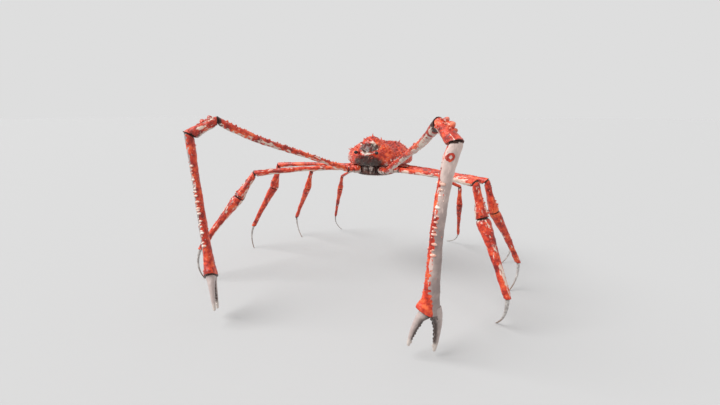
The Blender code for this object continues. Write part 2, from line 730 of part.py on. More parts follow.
def fuse(node, pieces):
    """Joins closed meshes to a node by one union, then keeps the node's largest closed surface."""
    group = bpy.data.collections.new("pieces")
    bpy.context.scene.collection.children.link(group)
    for bm in pieces:
        piece = add_object("piece", bm, Vector(node.location), None)
        bpy.context.scene.collection.objects.unlink(piece)
        group.objects.link(piece)
    union = node.modifiers.new("union", "BOOLEAN")
    union.operation = "UNION"
    union.operand_type = "COLLECTION"
    union.collection = group
    union.solver = "EXACT"
    bpy.context.view_layer.update()
    graph = bpy.context.evaluated_depsgraph_get()
    joined = bpy.data.meshes.new_from_object(node.evaluated_get(graph))
    node.modifiers.clear()
    node.data = joined
    for piece in list(group.objects):
        bpy.data.objects.remove(piece)
    bpy.data.collections.remove(group)
    keep_largest(joined)


def reach_of(faces):
    """The diagonal of the box round a set of faces."""
    corners = [vertex.co for face in faces for vertex in face.verts]
    spans = [max(c[k] for c in corners) - min(c[k] for c in corners) for k in range(3)]
    return Vector(spans).length


def keep_largest(mesh):
    """Removes every closed surface of the mesh but the one that reaches the furthest."""
    bm = bmesh.new()
    bm.from_mesh(mesh)
    left = set(bm.faces)
    surfaces = []
    while left:
        found = {left.pop()}
        edge = list(found)
        while edge:
            near = {face for side in edge.pop().edges for face in side.link_faces} & left
            left -= near
            found |= near
            edge += near
        surfaces.append(found)
    largest = max(surfaces, key=reach_of)
    extra = [face for face in bm.faces if face not in largest]
    bmesh.ops.delete(bm, geom=extra, context="FACES")
    bm.to_mesh(mesh)
    bm.free()


def build_face(carapace):
    """The eyes on their stalks and the feelers, each on a flat boss, and the outer mouth plates."""
    bosses = []
    for side in ("left", "right"):
        out = 1 if side == "left" else -1
        for name, ((x, z), way, stand, length, bow) in ORGANS.items():
            profile = ORGAN_PROFILES[name]
            colour = EYE_BLACK if name == "eye" else SHELL_PALE
            way = Vector((out * way[0], way[1], way[2])).normalized()
            inside = Vector((out * x, FACE_DEPTH, z))
            _, surface, _, _ = carapace.ray_cast(inside, way)
            root = surface + carapace.location + way * stand
            across = way.cross(Vector((0, 0, 1))).normalized()
            up = across.cross(way)
            wide = profile[0][1] * BOSS_WIDENING
            boss = Tube(
                root - way * BOSS_LENGTH, root, across, up, ((0, wide), (0.5, wide), (1, wide)),
                1.0, Vector(), way, way, start_gap=0, end_gap=0,
            )
            bosses.append(tube_mesh(boss, NEEDLE_SIDES))
            organ = Tube(
                root, root + way * length, across, up, profile, 1.0, up * (bow * length),
                way, way, start_gap=GAP, end_gap=0,
            )
            add_object(f"{name}_{side}", tube_mesh(organ, NEEDLE_SIDES), root, (colour, 0.2))
        build_mouth_plate(side)
    fuse(carapace, bosses + shell_armour(carapace))


def build_mouth_plate(side):
    """One of the two outer mouth plates, a crowned lozenge that meets its twin at a narrow cleft."""
    out = 1 if side == "left" else -1
    bm = bmesh.new()
    back = -STERNUM_END - GAP
    rings = []
    for share, size in MOUTH_PROFILE:
        z = BODY_HEIGHT + MOUTH_TOP + (MOUTH_BOTTOM - MOUTH_TOP) * share
        inner = out * MOUTH_CLEFT
        outer = out * (MOUTH_CLEFT + MOUTH_WIDTH * size)
        front = back - MOUTH_THICKNESS * size
        edge = front + MOUTH_BEVEL
        spots = ((inner, back), (inner, edge), ((inner + outer) / 2, front), (outer, edge), (outer, back))
        rings.append([bm.verts.new((x, y, z)) for x, y in spots])
    close_rings(bm, rings)
    origin = Vector((out * MOUTH_WIDTH / 2, back, BODY_HEIGHT + MOUTH_TOP))
    add_object(f"maxilliped_{side}", bm, origin, (SHELL_PALE, 0.6))


def stand_over_origin():
    """Moves the whole crab so that the middle of its outline stands over the origin."""
    shells = [obj for obj in bpy.context.scene.objects if obj.type == "MESH"]
    bpy.context.view_layer.update()
    corners = [obj.matrix_world @ vertex.co for obj in shells for vertex in obj.data.vertices]
    middle_x = (min(c.x for c in corners) + max(c.x for c in corners)) / 2
    middle_y = (min(c.y for c in corners) + max(c.y for c in corners)) / 2
    crab = bpy.data.objects.new("crab", None)
    bpy.context.scene.collection.objects.link(crab)
    crab.location = (-middle_x, -middle_y, 0)
    for obj in shells:
        obj.parent = crab


for old in list(bpy.data.objects):
    bpy.data.objects.remove(old)

carapace = build_carapace()
build_sternum()
build_abdomen()
build_face(carapace)
for side in ("left", "right"):
    build_claw_limb(side)
    for limb in THICKNESS:
        build_leg(limb, side)
stand_over_origin()
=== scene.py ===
"""The looks of a Japanese spider crab at life size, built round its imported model."""

import math
import random
from dataclasses import dataclass

import bpy
import numpy as np
from mathutils import Matrix, Vector, noise


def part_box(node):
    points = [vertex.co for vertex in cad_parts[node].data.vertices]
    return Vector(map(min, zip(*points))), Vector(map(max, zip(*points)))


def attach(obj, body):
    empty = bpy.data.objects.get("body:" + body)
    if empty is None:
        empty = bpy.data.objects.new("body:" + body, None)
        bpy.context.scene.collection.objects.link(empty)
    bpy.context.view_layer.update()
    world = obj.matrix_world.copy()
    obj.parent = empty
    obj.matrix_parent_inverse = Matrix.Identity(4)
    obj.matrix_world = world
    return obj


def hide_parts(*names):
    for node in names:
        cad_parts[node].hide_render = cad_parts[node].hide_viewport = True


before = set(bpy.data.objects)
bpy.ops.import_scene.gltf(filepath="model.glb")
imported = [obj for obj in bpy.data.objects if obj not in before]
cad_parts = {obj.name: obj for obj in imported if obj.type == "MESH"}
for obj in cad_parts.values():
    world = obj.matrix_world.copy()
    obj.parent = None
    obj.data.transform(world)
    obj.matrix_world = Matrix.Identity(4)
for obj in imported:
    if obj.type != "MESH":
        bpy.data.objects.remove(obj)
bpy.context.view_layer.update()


# Sternum
# The plate under the body that carries every limb. It is chalky pale shell, thick and grooved
# between the limbs' sockets, and it is one piece with the floor of the body.

# The body's centre: half way along and across the sternum, a little over its flat top.
STERNUM_DEPTH = 0.0225
STERNUM_LOW, STERNUM_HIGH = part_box("sternum")
BODY = Vector((
    (STERNUM_LOW.x + STERNUM_HIGH.x) / 2, (STERNUM_LOW.y + STERNUM_HIGH.y) / 2,
    STERNUM_HIGH.z + STERNUM_DEPTH,
))

# Each limb's flat socket on the left side: which way it faces in degrees, and how far out.
SOCKETS = {
    "claw": (53.0, 0.1272), "leg_1": (21.7, 0.1092), "leg_2": (0.0, 0.0980),
    "leg_3": (-21.7, 0.1092), "leg_4": (-53.0, 0.1272),
}
STERNUM_END = 0.132
SOCKET_HEIGHT = -0.047
# The plate's rings from the top down: height from the body's centre, and share of the outline.
STERNUM_LEVELS = (
    (-0.0235, 0.985), (-0.0235, 1.0), (-0.064, 1.0), (-0.073, 0.975), (-0.0795, 0.82), (-0.0800, 0.60),
)
# The grooves in its underside: depth, reach to each side, and how far from the middle they start.
STERNUM_GROOVE_DEPTH = 0.0022
STERNUM_GROOVE_REACH = 0.0025
STERNUM_GROOVE_START = 0.030

SHELL_RED = (0.64, 0.040, 0.010, 1)
SHELL_DEEP = (0.20, 0.008, 0.006, 1)
SHELL_ORANGE = (0.86, 0.150, 0.045, 1)
SHELL_PALE = (0.36, 0.270, 0.255, 1)
SHELL_CREAM = (0.72, 0.60, 0.50, 1)
# Dark brown for dark seams, and for painted shade in hollows, in grooves and under the face.
DARK_BROWN = (0.016, 0.008, 0.006, 1)


def choose(piece):
    """Makes one piece the only one that operators act on."""
    bpy.ops.object.select_all(action="DESELECT")
    piece.select_set(True)
    bpy.context.view_layer.objects.active = piece


def finish_with(piece, kind, **settings):
    """Adds a modifier with its settings and applies it."""
    choose(piece)
    added = piece.modifiers.new(kind.lower(), kind)
    for name, value in settings.items():
        setattr(added, name, value)
    bpy.ops.object.modifier_apply(modifier=added.name)


def smooth_out(piece, levels):
    finish_with(piece, "SUBSURF", levels=levels, render_levels=levels)


def cut_up(piece, cuts):
    """Divides every face of a mesh into smaller ones."""
    choose(piece)
    bpy.ops.object.mode_set(mode="EDIT")
    bpy.ops.mesh.select_all(action="SELECT")
    bpy.ops.mesh.subdivide(number_cuts=cuts)
    bpy.ops.object.mode_set(mode="OBJECT")


def relief(name, kind, size):
    """A procedural texture that raises and lowers a shell's surface."""
    made = bpy.data.textures.new(name, kind)
    made.noise_scale = size
    return made


SWELLS = relief("swells", "CLOUDS", 0.045)
LUMPS = relief("lumps", "CLOUDS", 0.018)
PITS = relief("pits", "STUCCI", 0.006)


def roughen(piece, lump_depth, pit_depth, swell_depth=0.0):
    """Works swellings, lumps and pits into the mesh itself."""
    if swell_depth:
        finish_with(piece, "DISPLACE", texture=SWELLS, strength=swell_depth, mid_level=0.5)
    finish_with(piece, "DISPLACE", texture=LUMPS, strength=lump_depth, mid_level=0.5)
    finish_with(piece, "DISPLACE", texture=PITS, strength=pit_depth, mid_level=0.5)


def turn_outward(piece):
    """Points every face of a closed mesh outward."""
    choose(piece)
    bpy.ops.object.mode_set(mode="EDIT")
    bpy.ops.mesh.select_all(action="SELECT")
    bpy.ops.mesh.normals_make_consistent(inside=False)
    bpy.ops.object.mode_set(mode="OBJECT")


def set_in_place(piece, place):
    """Puts a piece where it belongs, with its place in its mesh."""
    choose(piece)
    piece.matrix_world = place
    bpy.ops.object.transform_apply(location=True, rotation=True, scale=True)
    turn_outward(piece)


def join_all(piece, others):
    choose(piece)
    for other in others:
        other.select_set(True)
    if others:
        bpy.ops.object.join()


def corners_of(piece):
    """The mesh's points and the ways that it faces there, as two arrays."""
    points = np.zeros(len(piece.data.vertices) * 3)
    facing = np.zeros(len(piece.data.vertices) * 3)
    piece.data.vertices.foreach_get("co", points)
    piece.data.vertices.foreach_get("normal", facing)
    return points.reshape(-1, 3), facing.reshape(-1, 3)


def move_corners(piece, points):
    piece.data.vertices.foreach_set("co", np.asarray(points, float).ravel())
    piece.data.update()


def write_attribute(piece, name, values):
    kind = "FLOAT_VECTOR" if values.ndim == 2 else "FLOAT"
    old = piece.data.attributes.get(name)
    if old:
        piece.data.attributes.remove(old)
    made = piece.data.attributes.new(name, kind, "POINT")
    field = "vector" if values.ndim == 2 else "value"
    made.data.foreach_set(field, values.astype(np.float32).ravel())


def node(tree, kind, inputs=None, **settings):
    """Adds a shader node, sets it, and links or fills its inputs."""
    made = tree.nodes.new("ShaderNode" + kind)
    for name, value in settings.items():
        setattr(made, name, value)
    for name, value in (inputs or {}).items():
        socket = made.inputs[name]
        if isinstance(value, bpy.types.NodeSocket):
            tree.links.new(value, socket)
        else:
            socket.default_value = value
    return made


def blend(tree, share, under, over):
    """A colour between two others."""
    return node(tree, "Mix", {0: share, 6: under, 7: over}, data_type="RGBA").outputs[2]


def between(tree, value, low, high, to_low=0.0, to_high=1.0):
    """A smooth step of a value between two limits."""
    settings = {"Value": value, "From Min": low, "From Max": high, "To Min": to_low, "To Max": to_high}
    return node(tree, "MapRange", settings, interpolation_type="SMOOTHSTEP").outputs["Result"]


def sums(tree, operation, *values):
    """A Math node on two or three values."""
    return node(tree, "Math", dict(enumerate(values)), operation=operation).outputs[0]


def clouds(tree, place, size, detail=3.0):
    """Noise whose patches are about as wide as the size, in metres."""
    inputs = {"Vector": place, "Scale": 1 / size, "Detail": detail, "Roughness": 0.58}
    return node(tree, "TexNoise", inputs).outputs["Fac"]


def start_group(name, inputs, outputs):
    """A node group with its named sockets, and its first and last nodes."""
    group = bpy.data.node_groups.new(name, "ShaderNodeTree")
    for label, kind in inputs:
        group.interface.new_socket(label, in_out="INPUT", socket_type="NodeSocket" + kind)
    for label, kind in outputs:
        group.interface.new_socket(label, in_out="OUTPUT", socket_type="NodeSocket" + kind)
    first = group.nodes.new("NodeGroupInput")
    last = group.nodes.new("NodeGroupOutput")
    return group, first.outputs, last.inputs


def mottled_shell():
    """The crab's shell: two reds in patches, pale undersides, cream flecks, dark seams and painted shade.

    Marks holds how pale, how flecked and how dark each place is, and Grain Place runs along the
    piece, so that flecks stretch that way. Tip turns the points of spines to cream.
    """
    group, given, out = start_group(
        "mottled shell",
        (("Place", "Vector"), ("Grain Place", "Vector"), ("Marks", "Vector"), ("Tip", "Float"),
         ("Red", "Color"), ("Deep", "Color"), ("Orange", "Color"), ("Pale", "Color"), ("Cream", "Color")),
        (("Colour", "Color"), ("Roughness", "Float"), ("Height", "Float")),
    )
    marks = node(group, "SeparateXYZ", {0: given["Marks"]}).outputs
    broad = clouds(group, given["Place"], 0.060)
    middle = clouds(group, given["Place"], 0.016, 4.0)
    fine = clouds(group, given["Place"], 0.0045, 3.0)
    grain = clouds(group, given["Place"], 0.0013, 2.0)
    streak = clouds(group, given["Grain Place"], 0.0115, 3.0)
    patch = clouds(group, given["Grain Place"], 0.032, 4.0)
    mixed = sums(group, "ADD", sums(group, "MULTIPLY", broad, 0.5), sums(group, "MULTIPLY", middle, 0.5))
    red = blend(group, between(group, mixed, 0.36, 0.54), given["Deep"], given["Red"])
    glow = sums(group, "MULTIPLY", between(group, mixed, 0.49, 0.63), 0.92)
    red = blend(group, glow, red, given["Orange"])
    worn = sums(group, "MULTIPLY", between(group, fine, 0.54, 0.74), 0.16)
    red = blend(group, worn, red, given["Cream"])
    shade = sums(group, "MULTIPLY", between(group, streak, 0.48, 0.34), 0.50)
    red = blend(group, shade, red, given["Deep"])
    ragged = sums(group, "MULTIPLY_ADD", patch, 0.50, -0.25)
    ragged = sums(group, "MULTIPLY_ADD", streak, 0.42, sums(group, "ADD", ragged, -0.21))
    pale_share = between(group, sums(group, "ADD", marks["X"], ragged), 0.47, 0.56)
    chalky = sums(group, "MULTIPLY", between(group, broad, 0.40, 0.66), 0.35)
    chalky = sums(group, "MULTIPLY_ADD", marks["Y"], 0.70, chalky)
    pale = blend(group, chalky, given["Pale"], given["Cream"])
    stains = sums(group, "MULTIPLY", between(group, streak, 0.64, 0.72), 0.5)
    pale = blend(group, stains, pale, given["Deep"])
    colour = blend(group, pale_share, red, pale)
    flecked = sums(group, "MULTIPLY_ADD", marks["Y"], 0.20, sums(group, "MAXIMUM", streak, patch))
    fleck_share = sums(group, "MULTIPLY", between(group, flecked, 0.74, 0.79), 0.92)
    # The third mark darkens towards dark brown: dark seams, and painted shade where a piece asks for it.
    torn = sums(group, "MULTIPLY_ADD", middle, 0.80, sums(group, "ADD", marks["Z"], -0.40))
    colour = blend(group, sums(group, "MULTIPLY", between(group, torn, 0.20, 0.62), 0.93), colour, DARK_BROWN)
    fleck_share = sums(group, "MULTIPLY", fleck_share, between(group, torn, 0.85, 0.55))
    colour = blend(group, fleck_share, colour, given["Cream"])
    colour = blend(group, sums(group, "MULTIPLY", given["Tip"], 0.22), colour, given["Cream"])
    group.links.new(colour, out["Colour"])
    group.links.new(sums(group, "MULTIPLY_ADD", middle, 0.40, 0.18), out["Roughness"])
    height = sums(group, "MULTIPLY_ADD", fine, 0.6, sums(group, "MULTIPLY", grain, 0.35))
    group.links.new(sums(group, "MULTIPLY_ADD", middle, 0.9, height), out["Height"])
    return group


SHELL_GROUP = mottled_shell()


def object_place(tree):
    return node(tree, "TexCoord").outputs["Object"]


def attribute(tree, name, socket="Vector"):
    return node(tree, "Attribute", attribute_name=name).outputs[socket]


def shell_finish(
    name, red=SHELL_RED, deep=SHELL_DEEP, orange=SHELL_ORANGE, pale=SHELL_PALE, cream=SHELL_CREAM, coat=0.12,
):
    """A shell material on the mottled group, with its own five colours."""
    made = bpy.data.materials.new(name)
    made.use_nodes = True
    tree = made.node_tree
    shader = tree.nodes["Principled BSDF"]
    group = tree.nodes.new("ShaderNodeGroup")
    group.node_tree = SHELL_GROUP
    tree.links.new(object_place(tree), group.inputs["Place"])
    tree.links.new(attribute(tree, "grain_place"), group.inputs["Grain Place"])
    tree.links.new(attribute(tree, "marks"), group.inputs["Marks"])
    tree.links.new(attribute(tree, "tip", "Fac"), group.inputs["Tip"])
    colours = {"Red": red, "Deep": deep, "Orange": orange, "Pale": pale, "Cream": cream}
    for label, value in colours.items():
        group.inputs[label].default_value = value
    bump = node(tree, "Bump", {"Height": group.outputs["Height"], "Distance": 0.0016, "Strength": 0.55})
    tree.links.new(group.outputs["Colour"], shader.inputs["Base Color"])
    tree.links.new(group.outputs["Roughness"], shader.inputs["Roughness"])
    tree.links.new(bump.outputs["Normal"], shader.inputs["Normal"])
    shader.inputs["Coat Weight"].default_value = coat
    shader.inputs["Coat Roughness"].default_value = 0.20
    shader.inputs["Specular IOR Level"].default_value = 0.38
    return made


RED_FINISH = shell_finish("red_shell")
PALE_FINISH = shell_finish(
    "pale_shell", red=(0.38, 0.07, 0.04, 1), orange=(0.48, 0.14, 0.08, 1), pale=(0.42, 0.34, 0.31, 1),
    cream=(0.68, 0.60, 0.53, 1),
)


def mark(piece, place, marks, squeeze=0.30):
    """Writes what the shell finish reads: marks(local points, local facing) and the grain's place."""
    points, facing = corners_of(piece)
    back = np.array(place.inverted())
    local = points @ back[:3, :3].T + back[:3, 3]
    turned = facing @ back[:3, :3].T
    write_attribute(piece, "marks", marks(local, turned))
    write_attribute(piece, "grain_place", local * (1, 1, squeeze) + np.array(place.translation))


def hand_over(piece, slot, finish, *nodes):
    """Shades a finished piece, gives it its material, and ties it to the frame."""
    choose(piece)
    bpy.ops.object.shade_smooth()
    piece.data.materials.clear()
    piece.data.materials.append(finish)
    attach(piece, "root")
    if nodes:
        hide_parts(*nodes)


def socket_line(limb):
    """A limb's socket on the left side: the way it faces, and its distance from the middle."""
    turn, distance = SOCKETS[limb]
    return Vector((math.cos(math.radians(turn)), -math.sin(math.radians(turn)))), distance


def sternum_outline():
    """The corners of the sternum's left side, where neighbouring sockets meet."""
    lines = [(Vector((0, -1)), STERNUM_END)]
    lines += [socket_line(limb) for limb in SOCKETS]
    lines += [(Vector((0, 1)), STERNUM_END)]
    corners = []
    for (first, reach), (second, next_reach) in zip(lines, lines[1:]):
        scale = first.x * second.y - first.y * second.x
        x = (reach * second.y - next_reach * first.y) / scale
        y = (first.x * next_reach - second.x * reach) / scale
        corners.append(Vector((x, y)))
    return corners


def out_of(side):
    return 1 if side == "left" else -1


def socket_centre(limb, side):
    corners = sternum_outline()
    at = list(SOCKETS).index(limb)
    middle = (corners[at] + corners[at + 1]) / 2
    normal, _ = socket_line(limb)
    out = out_of(side)
    return BODY + Vector((out * middle.x, middle.y, SOCKET_HEIGHT)), Vector((out * normal.x, normal.y, 0))


def build_sternum():
    left = sternum_outline()
    outline = left + [Vector((-c.x, c.y)) for c in reversed(left)]
    bpy.ops.object.select_all(action="DESELECT")
    bpy.ops.mesh.primitive_circle_add(vertices=len(outline), radius=1, fill_type="NGON")
    sternum = bpy.context.object
    sternum.name = "sternum_plate"
    bpy.ops.object.mode_set(mode="EDIT")
    for _ in STERNUM_LEVELS[1:]:
        bpy.ops.mesh.extrude_region_move(TRANSFORM_OT_translate={"value": (0, 0, 1)})
    bpy.ops.object.mode_set(mode="OBJECT")
    points, _ = corners_of(sternum)
    turns = np.round(np.arctan2(points[:, 1], points[:, 0]) / (2 * math.pi / len(outline)) * 4) / 4
    order = {turn: k for k, turn in enumerate(sorted(set(turns % len(outline))))}
    placed = []
    for point, turn in zip(points, turns % len(outline)):
        height, size = STERNUM_LEVELS[int(round(point[2]))]
        corner = outline[order[turn]]
        placed.append((corner.x * size, corner.y * size, height))
    move_corners(sternum, placed)
    set_in_place(sternum, Matrix.Translation(BODY))
    cut_up(sternum, 6)
    finish_with(sternum, "BEVEL", width=0.003, segments=2, limit_method="ANGLE")
    smooth_out(sternum, 2)
    points, facing = corners_of(sternum)
    local = points - np.array(BODY)
    for limb, (turn, _) in SOCKETS.items():
        # a groove runs from the middle to each corner between two sockets
        corner = left[list(SOCKETS).index(limb)]
        for out in (1, -1):
            way = np.array((out * corner.x, corner.y)) / corner.length
            off = np.abs(local[:, 0] * way[1] - local[:, 1] * way[0])
            ahead = (local[:, 0] * way[0] + local[:, 1] * way[1]) > STERNUM_GROOVE_START
            depth = STERNUM_GROOVE_DEPTH * np.exp(-((off / STERNUM_GROOVE_REACH) ** 2))
            points -= facing * (depth * ahead * (facing[:, 2] < -0.3))[:, None]
    move_corners(sternum, points)
    roughen(sternum, 0.0016, 0.0005)
    # The front of the sternum, under the face, gets painted shade: dark except where it faces the floor.
    mark(sternum, Matrix.Translation(BODY), lambda local, facing: np.stack([
        0.80 - 0.62 * np.clip((facing[:, 2] + 0.75) / 0.3, 0, 1), np.full(len(local), 0.25),
        0.62 * np.clip((-local[:, 1] - 0.085) / 0.03, 0, 1) * np.clip((facing[:, 2] + 0.8) / 0.3, 0, 1),
    ], axis=1))
    hand_over(sternum, "pale_shell", PALE_FINISH, "sternum")


build_sternum()


# Carapace
# The pear-shaped shell over the body, of hard orange-red chitin, raised into regions with grooves
# between them and set all over with spines and granules. It was cast in one piece with them.

CARAPACE_HALF_LENGTH = 0.180
CARAPACE_HALF_WIDTH = 0.170
CARAPACE_TOP = 0.076
CARAPACE_FLOOR = -0.0222
CARAPACE_UNDERTURN = math.radians(112)
# Raised regions, each with its place across and along, its height and reach.
HUMPS = (
    (0.000, -0.108, 0.056, 0.052), (0.000, 0.062, 0.015, 0.034), (0.088, 0.052, 0.022, 0.048),
    (0.085, -0.082, 0.012, 0.024), (0.034, -0.104, 0.006, 0.020), (0.000, -0.062, 0.005, 0.018),
    (0.052, 0.004, 0.005, 0.016), (0.098, 0.100, 0.006, 0.020), (0.000, 0.122, 0.005, 0.018),
)
# Grooves, each with its place across and along, its depth and reach.
GROOVES = (
    (0.062, -0.028, 0.014, 0.024), (0.036, 0.070, 0.012, 0.016), (0.024, -0.018, 0.008, 0.014),
    (0.112, -0.046, 0.008, 0.016), (0.050, -0.138, 0.006, 0.014), (0.020, 0.030, 0.005, 0.010),
)


def outline_width(along):
    """Half the carapace's width, from -1 at its front to 1 at its back."""
    belly = np.sqrt(np.maximum(0, 1 - along * along))
    return CARAPACE_HALF_WIDTH * belly * (0.80 + 0.26 * along - 0.02 * along * along + 0.20 * belly)


def hump_height(x, y):
    total = np.zeros_like(x)
    for parts, sign in ((HUMPS, 1), (GROOVES, -1)):
        for across, along, height, reach in parts:
            for side in {across, -across}:
                total += sign * height * np.exp(-((x - side) ** 2 + (y - along) ** 2) / (2 * reach**2))
    return total


# The hollow under the brow that holds the eyes: its middle height, half width and half height.
HOLLOW_HEIGHT = 0.066
HOLLOW_HALF_WIDTH = 0.062
HOLLOW_HALF_HEIGHT = 0.027
HOLLOW_DEPTH = 0.012
# The patch of painted shade over the mouth, under the face: its middle height, half width and half height.
MOUTH_SHADE_HEIGHT = -0.014
MOUTH_SHADE_HALF_WIDTH = 0.092
MOUTH_SHADE_HALF_HEIGHT = 0.056


def in_hollow(x, y, z):
    """How deep in the hollow a place is, from 0 at its rim to 1."""
    away = np.hypot(x / HOLLOW_HALF_WIDTH, (z - HOLLOW_HEIGHT) / HOLLOW_HALF_HEIGHT)
    step = np.clip((1 - away) / 0.45, 0, 1) * (y < -0.095)
    return step * step * (3 - 2 * step)


def shell_dome(points):
    """Turns a unit ball into the carapace, from the body's centre."""
    tilt = np.arccos(np.clip(points[:, 2], -1, 1))
    turn = np.arctan2(points[:, 0], -points[:, 1])
    below = tilt > CARAPACE_UNDERTURN
    shrink = np.where(below, np.sin(tilt) / math.sin(CARAPACE_UNDERTURN), 1)
    tilt = np.minimum(tilt, CARAPACE_UNDERTURN)
    along = -np.cos(turn)
    y = CARAPACE_HALF_LENGTH * along * np.sin(tilt)
    x = outline_width(along) * np.sin(tilt) * np.sign(np.sin(turn))
    rise = np.maximum(np.cos(tilt), 0)
    top = CARAPACE_TOP * rise**0.85 + hump_height(x, y) * rise**0.5
    under = CARAPACE_FLOOR * np.cos(tilt) / math.cos(CARAPACE_UNDERTURN)
    z = np.where(tilt <= math.pi / 2, top, under)
    sunk = HOLLOW_DEPTH * in_hollow(x, y, z)
    return np.stack([x * shrink, y * shrink + sunk * 0.8, z - sunk * 0.5], axis=1)


def build_spine_model(name, sides, rings):
    """A tapered spine one long and one wide at its foot, which flares into the shell."""
    bpy.ops.object.select_all(action="DESELECT")
    bpy.ops.mesh.primitive_circle_add(vertices=sides, radius=rings[0][1], fill_type="NGON")
    model = bpy.context.object
    model.name = name
    bpy.ops.object.mode_set(mode="EDIT")
    for (height, wide), (next_height, next_wide) in zip(rings, rings[1:]):
        step = (0, 0, next_height - height)
        bpy.ops.mesh.extrude_region_move(TRANSFORM_OT_translate={"value": step})
        size = next_wide / wide
        bpy.ops.transform.resize(value=(size, size, 1), center_override=(0, 0, next_height))
    bpy.ops.object.mode_set(mode="OBJECT")
    turn_outward(model)
    points, _ = corners_of(model)
    write_attribute(model, "tip", np.clip((points[:, 2] - 0.35) / 0.65, 0, 1) ** 1.4)
    return model


# Rings of the models: height, and half width.
SPINE_MODEL = build_spine_model("spine_model", 8, (
    (0.0, 1.35), (0.07, 1.00), (0.20, 0.78), (0.45, 0.55), (0.70, 0.36), (0.90, 0.17), (1.0, 0.04),
))
KNOB_MODEL = build_spine_model("knob_model", 9, (
    (-0.30, 1.18), (0.10, 1.08), (0.45, 0.93), (0.74, 0.68), (0.93, 0.36), (1.0, 0.08),
))


def stand_copies(model, stands, along=None, stretch=1.0):
    """Copies of a model, each with a mesh of its own: (foot, way, height, half width, turn).

    With a direction along the piece, the copies are stretched square to it.
    """
    copies = []
    for foot, way, height, half, turn in stands:
        copy = model.copy()
        copy.data = model.data.copy()
        aim = way.to_track_quat("Z", "Y").to_matrix().to_4x4() @ Matrix.Rotation(turn, 4, "Z")
        if along:
            aside = along.cross(way).normalized()
            aim = Matrix((aside, way.cross(aside), way)).transposed().to_4x4()
        size = Matrix.Diagonal((half * stretch, half, height, 1))
        copy.matrix_world = Matrix.Translation(foot) @ aim @ size
        bpy.context.scene.collection.objects.link(copy)
        copies.append(copy)
    return copies


# The large spines: place across and along, length, foot's half width, lean outward and forward.
SHELL_SPINES = (
    (0.014, -0.158, 0.040, 0.0080, 0.30, 1.60), (0.042, -0.120, 0.018, 0.0055, 0.30, 1.10),
    (0.074, -0.110, 0.020, 0.0060, 0.80, 0.90), (0.096, -0.098, 0.022, 0.0065, 1.20, 0.40),
    (0.126, -0.058, 0.018, 0.0060, 1.20, 0.10), (0.150, -0.012, 0.018, 0.0060, 1.30, 0.00),
    (0.158, 0.040, 0.020, 0.0065, 1.30, -0.15), (0.140, 0.094, 0.018, 0.0060, 1.10, -0.50),
    (0.100, 0.138, 0.016, 0.0055, 0.70, -0.90), (0.046, 0.162, 0.014, 0.0050, 0.30, -1.20),
    (0.030, -0.110, 0.014, 0.0060, 0.15, 0.20), (0.052, -0.062, 0.013, 0.0060, 0.30, 0.05),
    (0.086, 0.020, 0.015, 0.0062, 0.30, 0.00), (0.092, 0.072, 0.016, 0.0062, 0.30, -0.10),
    (0.048, 0.108, 0.012, 0.0055, 0.15, -0.30),
)
MIDLINE_SPINES = (
    (-0.128, 0.014, 0.0060), (-0.084, 0.015, 0.0064), (-0.034, 0.012, 0.0058),
    (0.050, 0.016, 0.0066), (0.092, 0.013, 0.0058), (0.136, 0.012, 0.0052),
)
SMALL_SPINES = 70
GRANULES = 640


def on_carapace(carapace, x, y):
    """The place on the carapace over a point of its plan, and the way it faces."""
    above = BODY + Vector((x, y, 0.5))
    _, spot, facing, _ = carapace.ray_cast(above, Vector((0, 0, -1)))
    return spot, facing


def shell_stands(carapace):
    """Where the carapace's spines, small spines and granules stand."""
    spines = []
    spots = []
    for x, y, length, half, outward, forward in SHELL_SPINES:
        for out in (1, -1):
            spot, facing = on_carapace(carapace, out * x, y)
            way = (facing + Vector((out * outward, -forward, 0)) * 0.5).normalized()
            spines.append((spot - way * half * 0.6, way, length + half * 0.6, half, 0))
            spots.append((out * x, y, 0.013))
    for y, length, half in MIDLINE_SPINES:
        spot, facing = on_carapace(carapace, 0, y)
        spines.append((spot - facing * half * 0.6, facing, length + half * 0.6, half, 0))
        spots.append((0, y, 0.013))
    draw = random.Random(3)
    granules = []
    wanted = ((SMALL_SPINES, 0.0115, spines, 0.0036, 0.0062), (GRANULES, 0.0050, granules, 0.0012, 0.0025))
    for count, room, into, small, large in wanted:
        made = 0
        tries = 0
        while made < count and tries < count * 40:
            tries += 1
            turn = draw.uniform(0, 2 * math.pi)
            away = math.sqrt(draw.uniform(0, 0.97))
            y = -CARAPACE_HALF_LENGTH * math.cos(turn) * away
            out = 1 if turn < math.pi else -1
            x = float(outline_width(np.array(-math.cos(turn)))) * away * out
            if abs(x) < HOLLOW_HALF_WIDTH and y < -0.115:
                continue
            if any(math.hypot(x - a, y - b) < max(room, gap) * 0.8 for a, b, gap in spots):
                continue
            spot, facing = on_carapace(carapace, x, y)
            size = draw.uniform(small, large)
            if into is spines:
                lean = Vector((draw.uniform(-0.2, 0.2), draw.uniform(-0.35, 0.05), 0.1))
                way = (facing + lean).normalized()
                into.append((spot - way * 0.001, way, size + 0.001, size * 0.52, draw.uniform(0, 1)))
            else:
                into.append((spot, facing, size * 0.7, size, draw.uniform(0, 1)))
            spots.append((x, y, room))
            made += 1
    return spines, granules


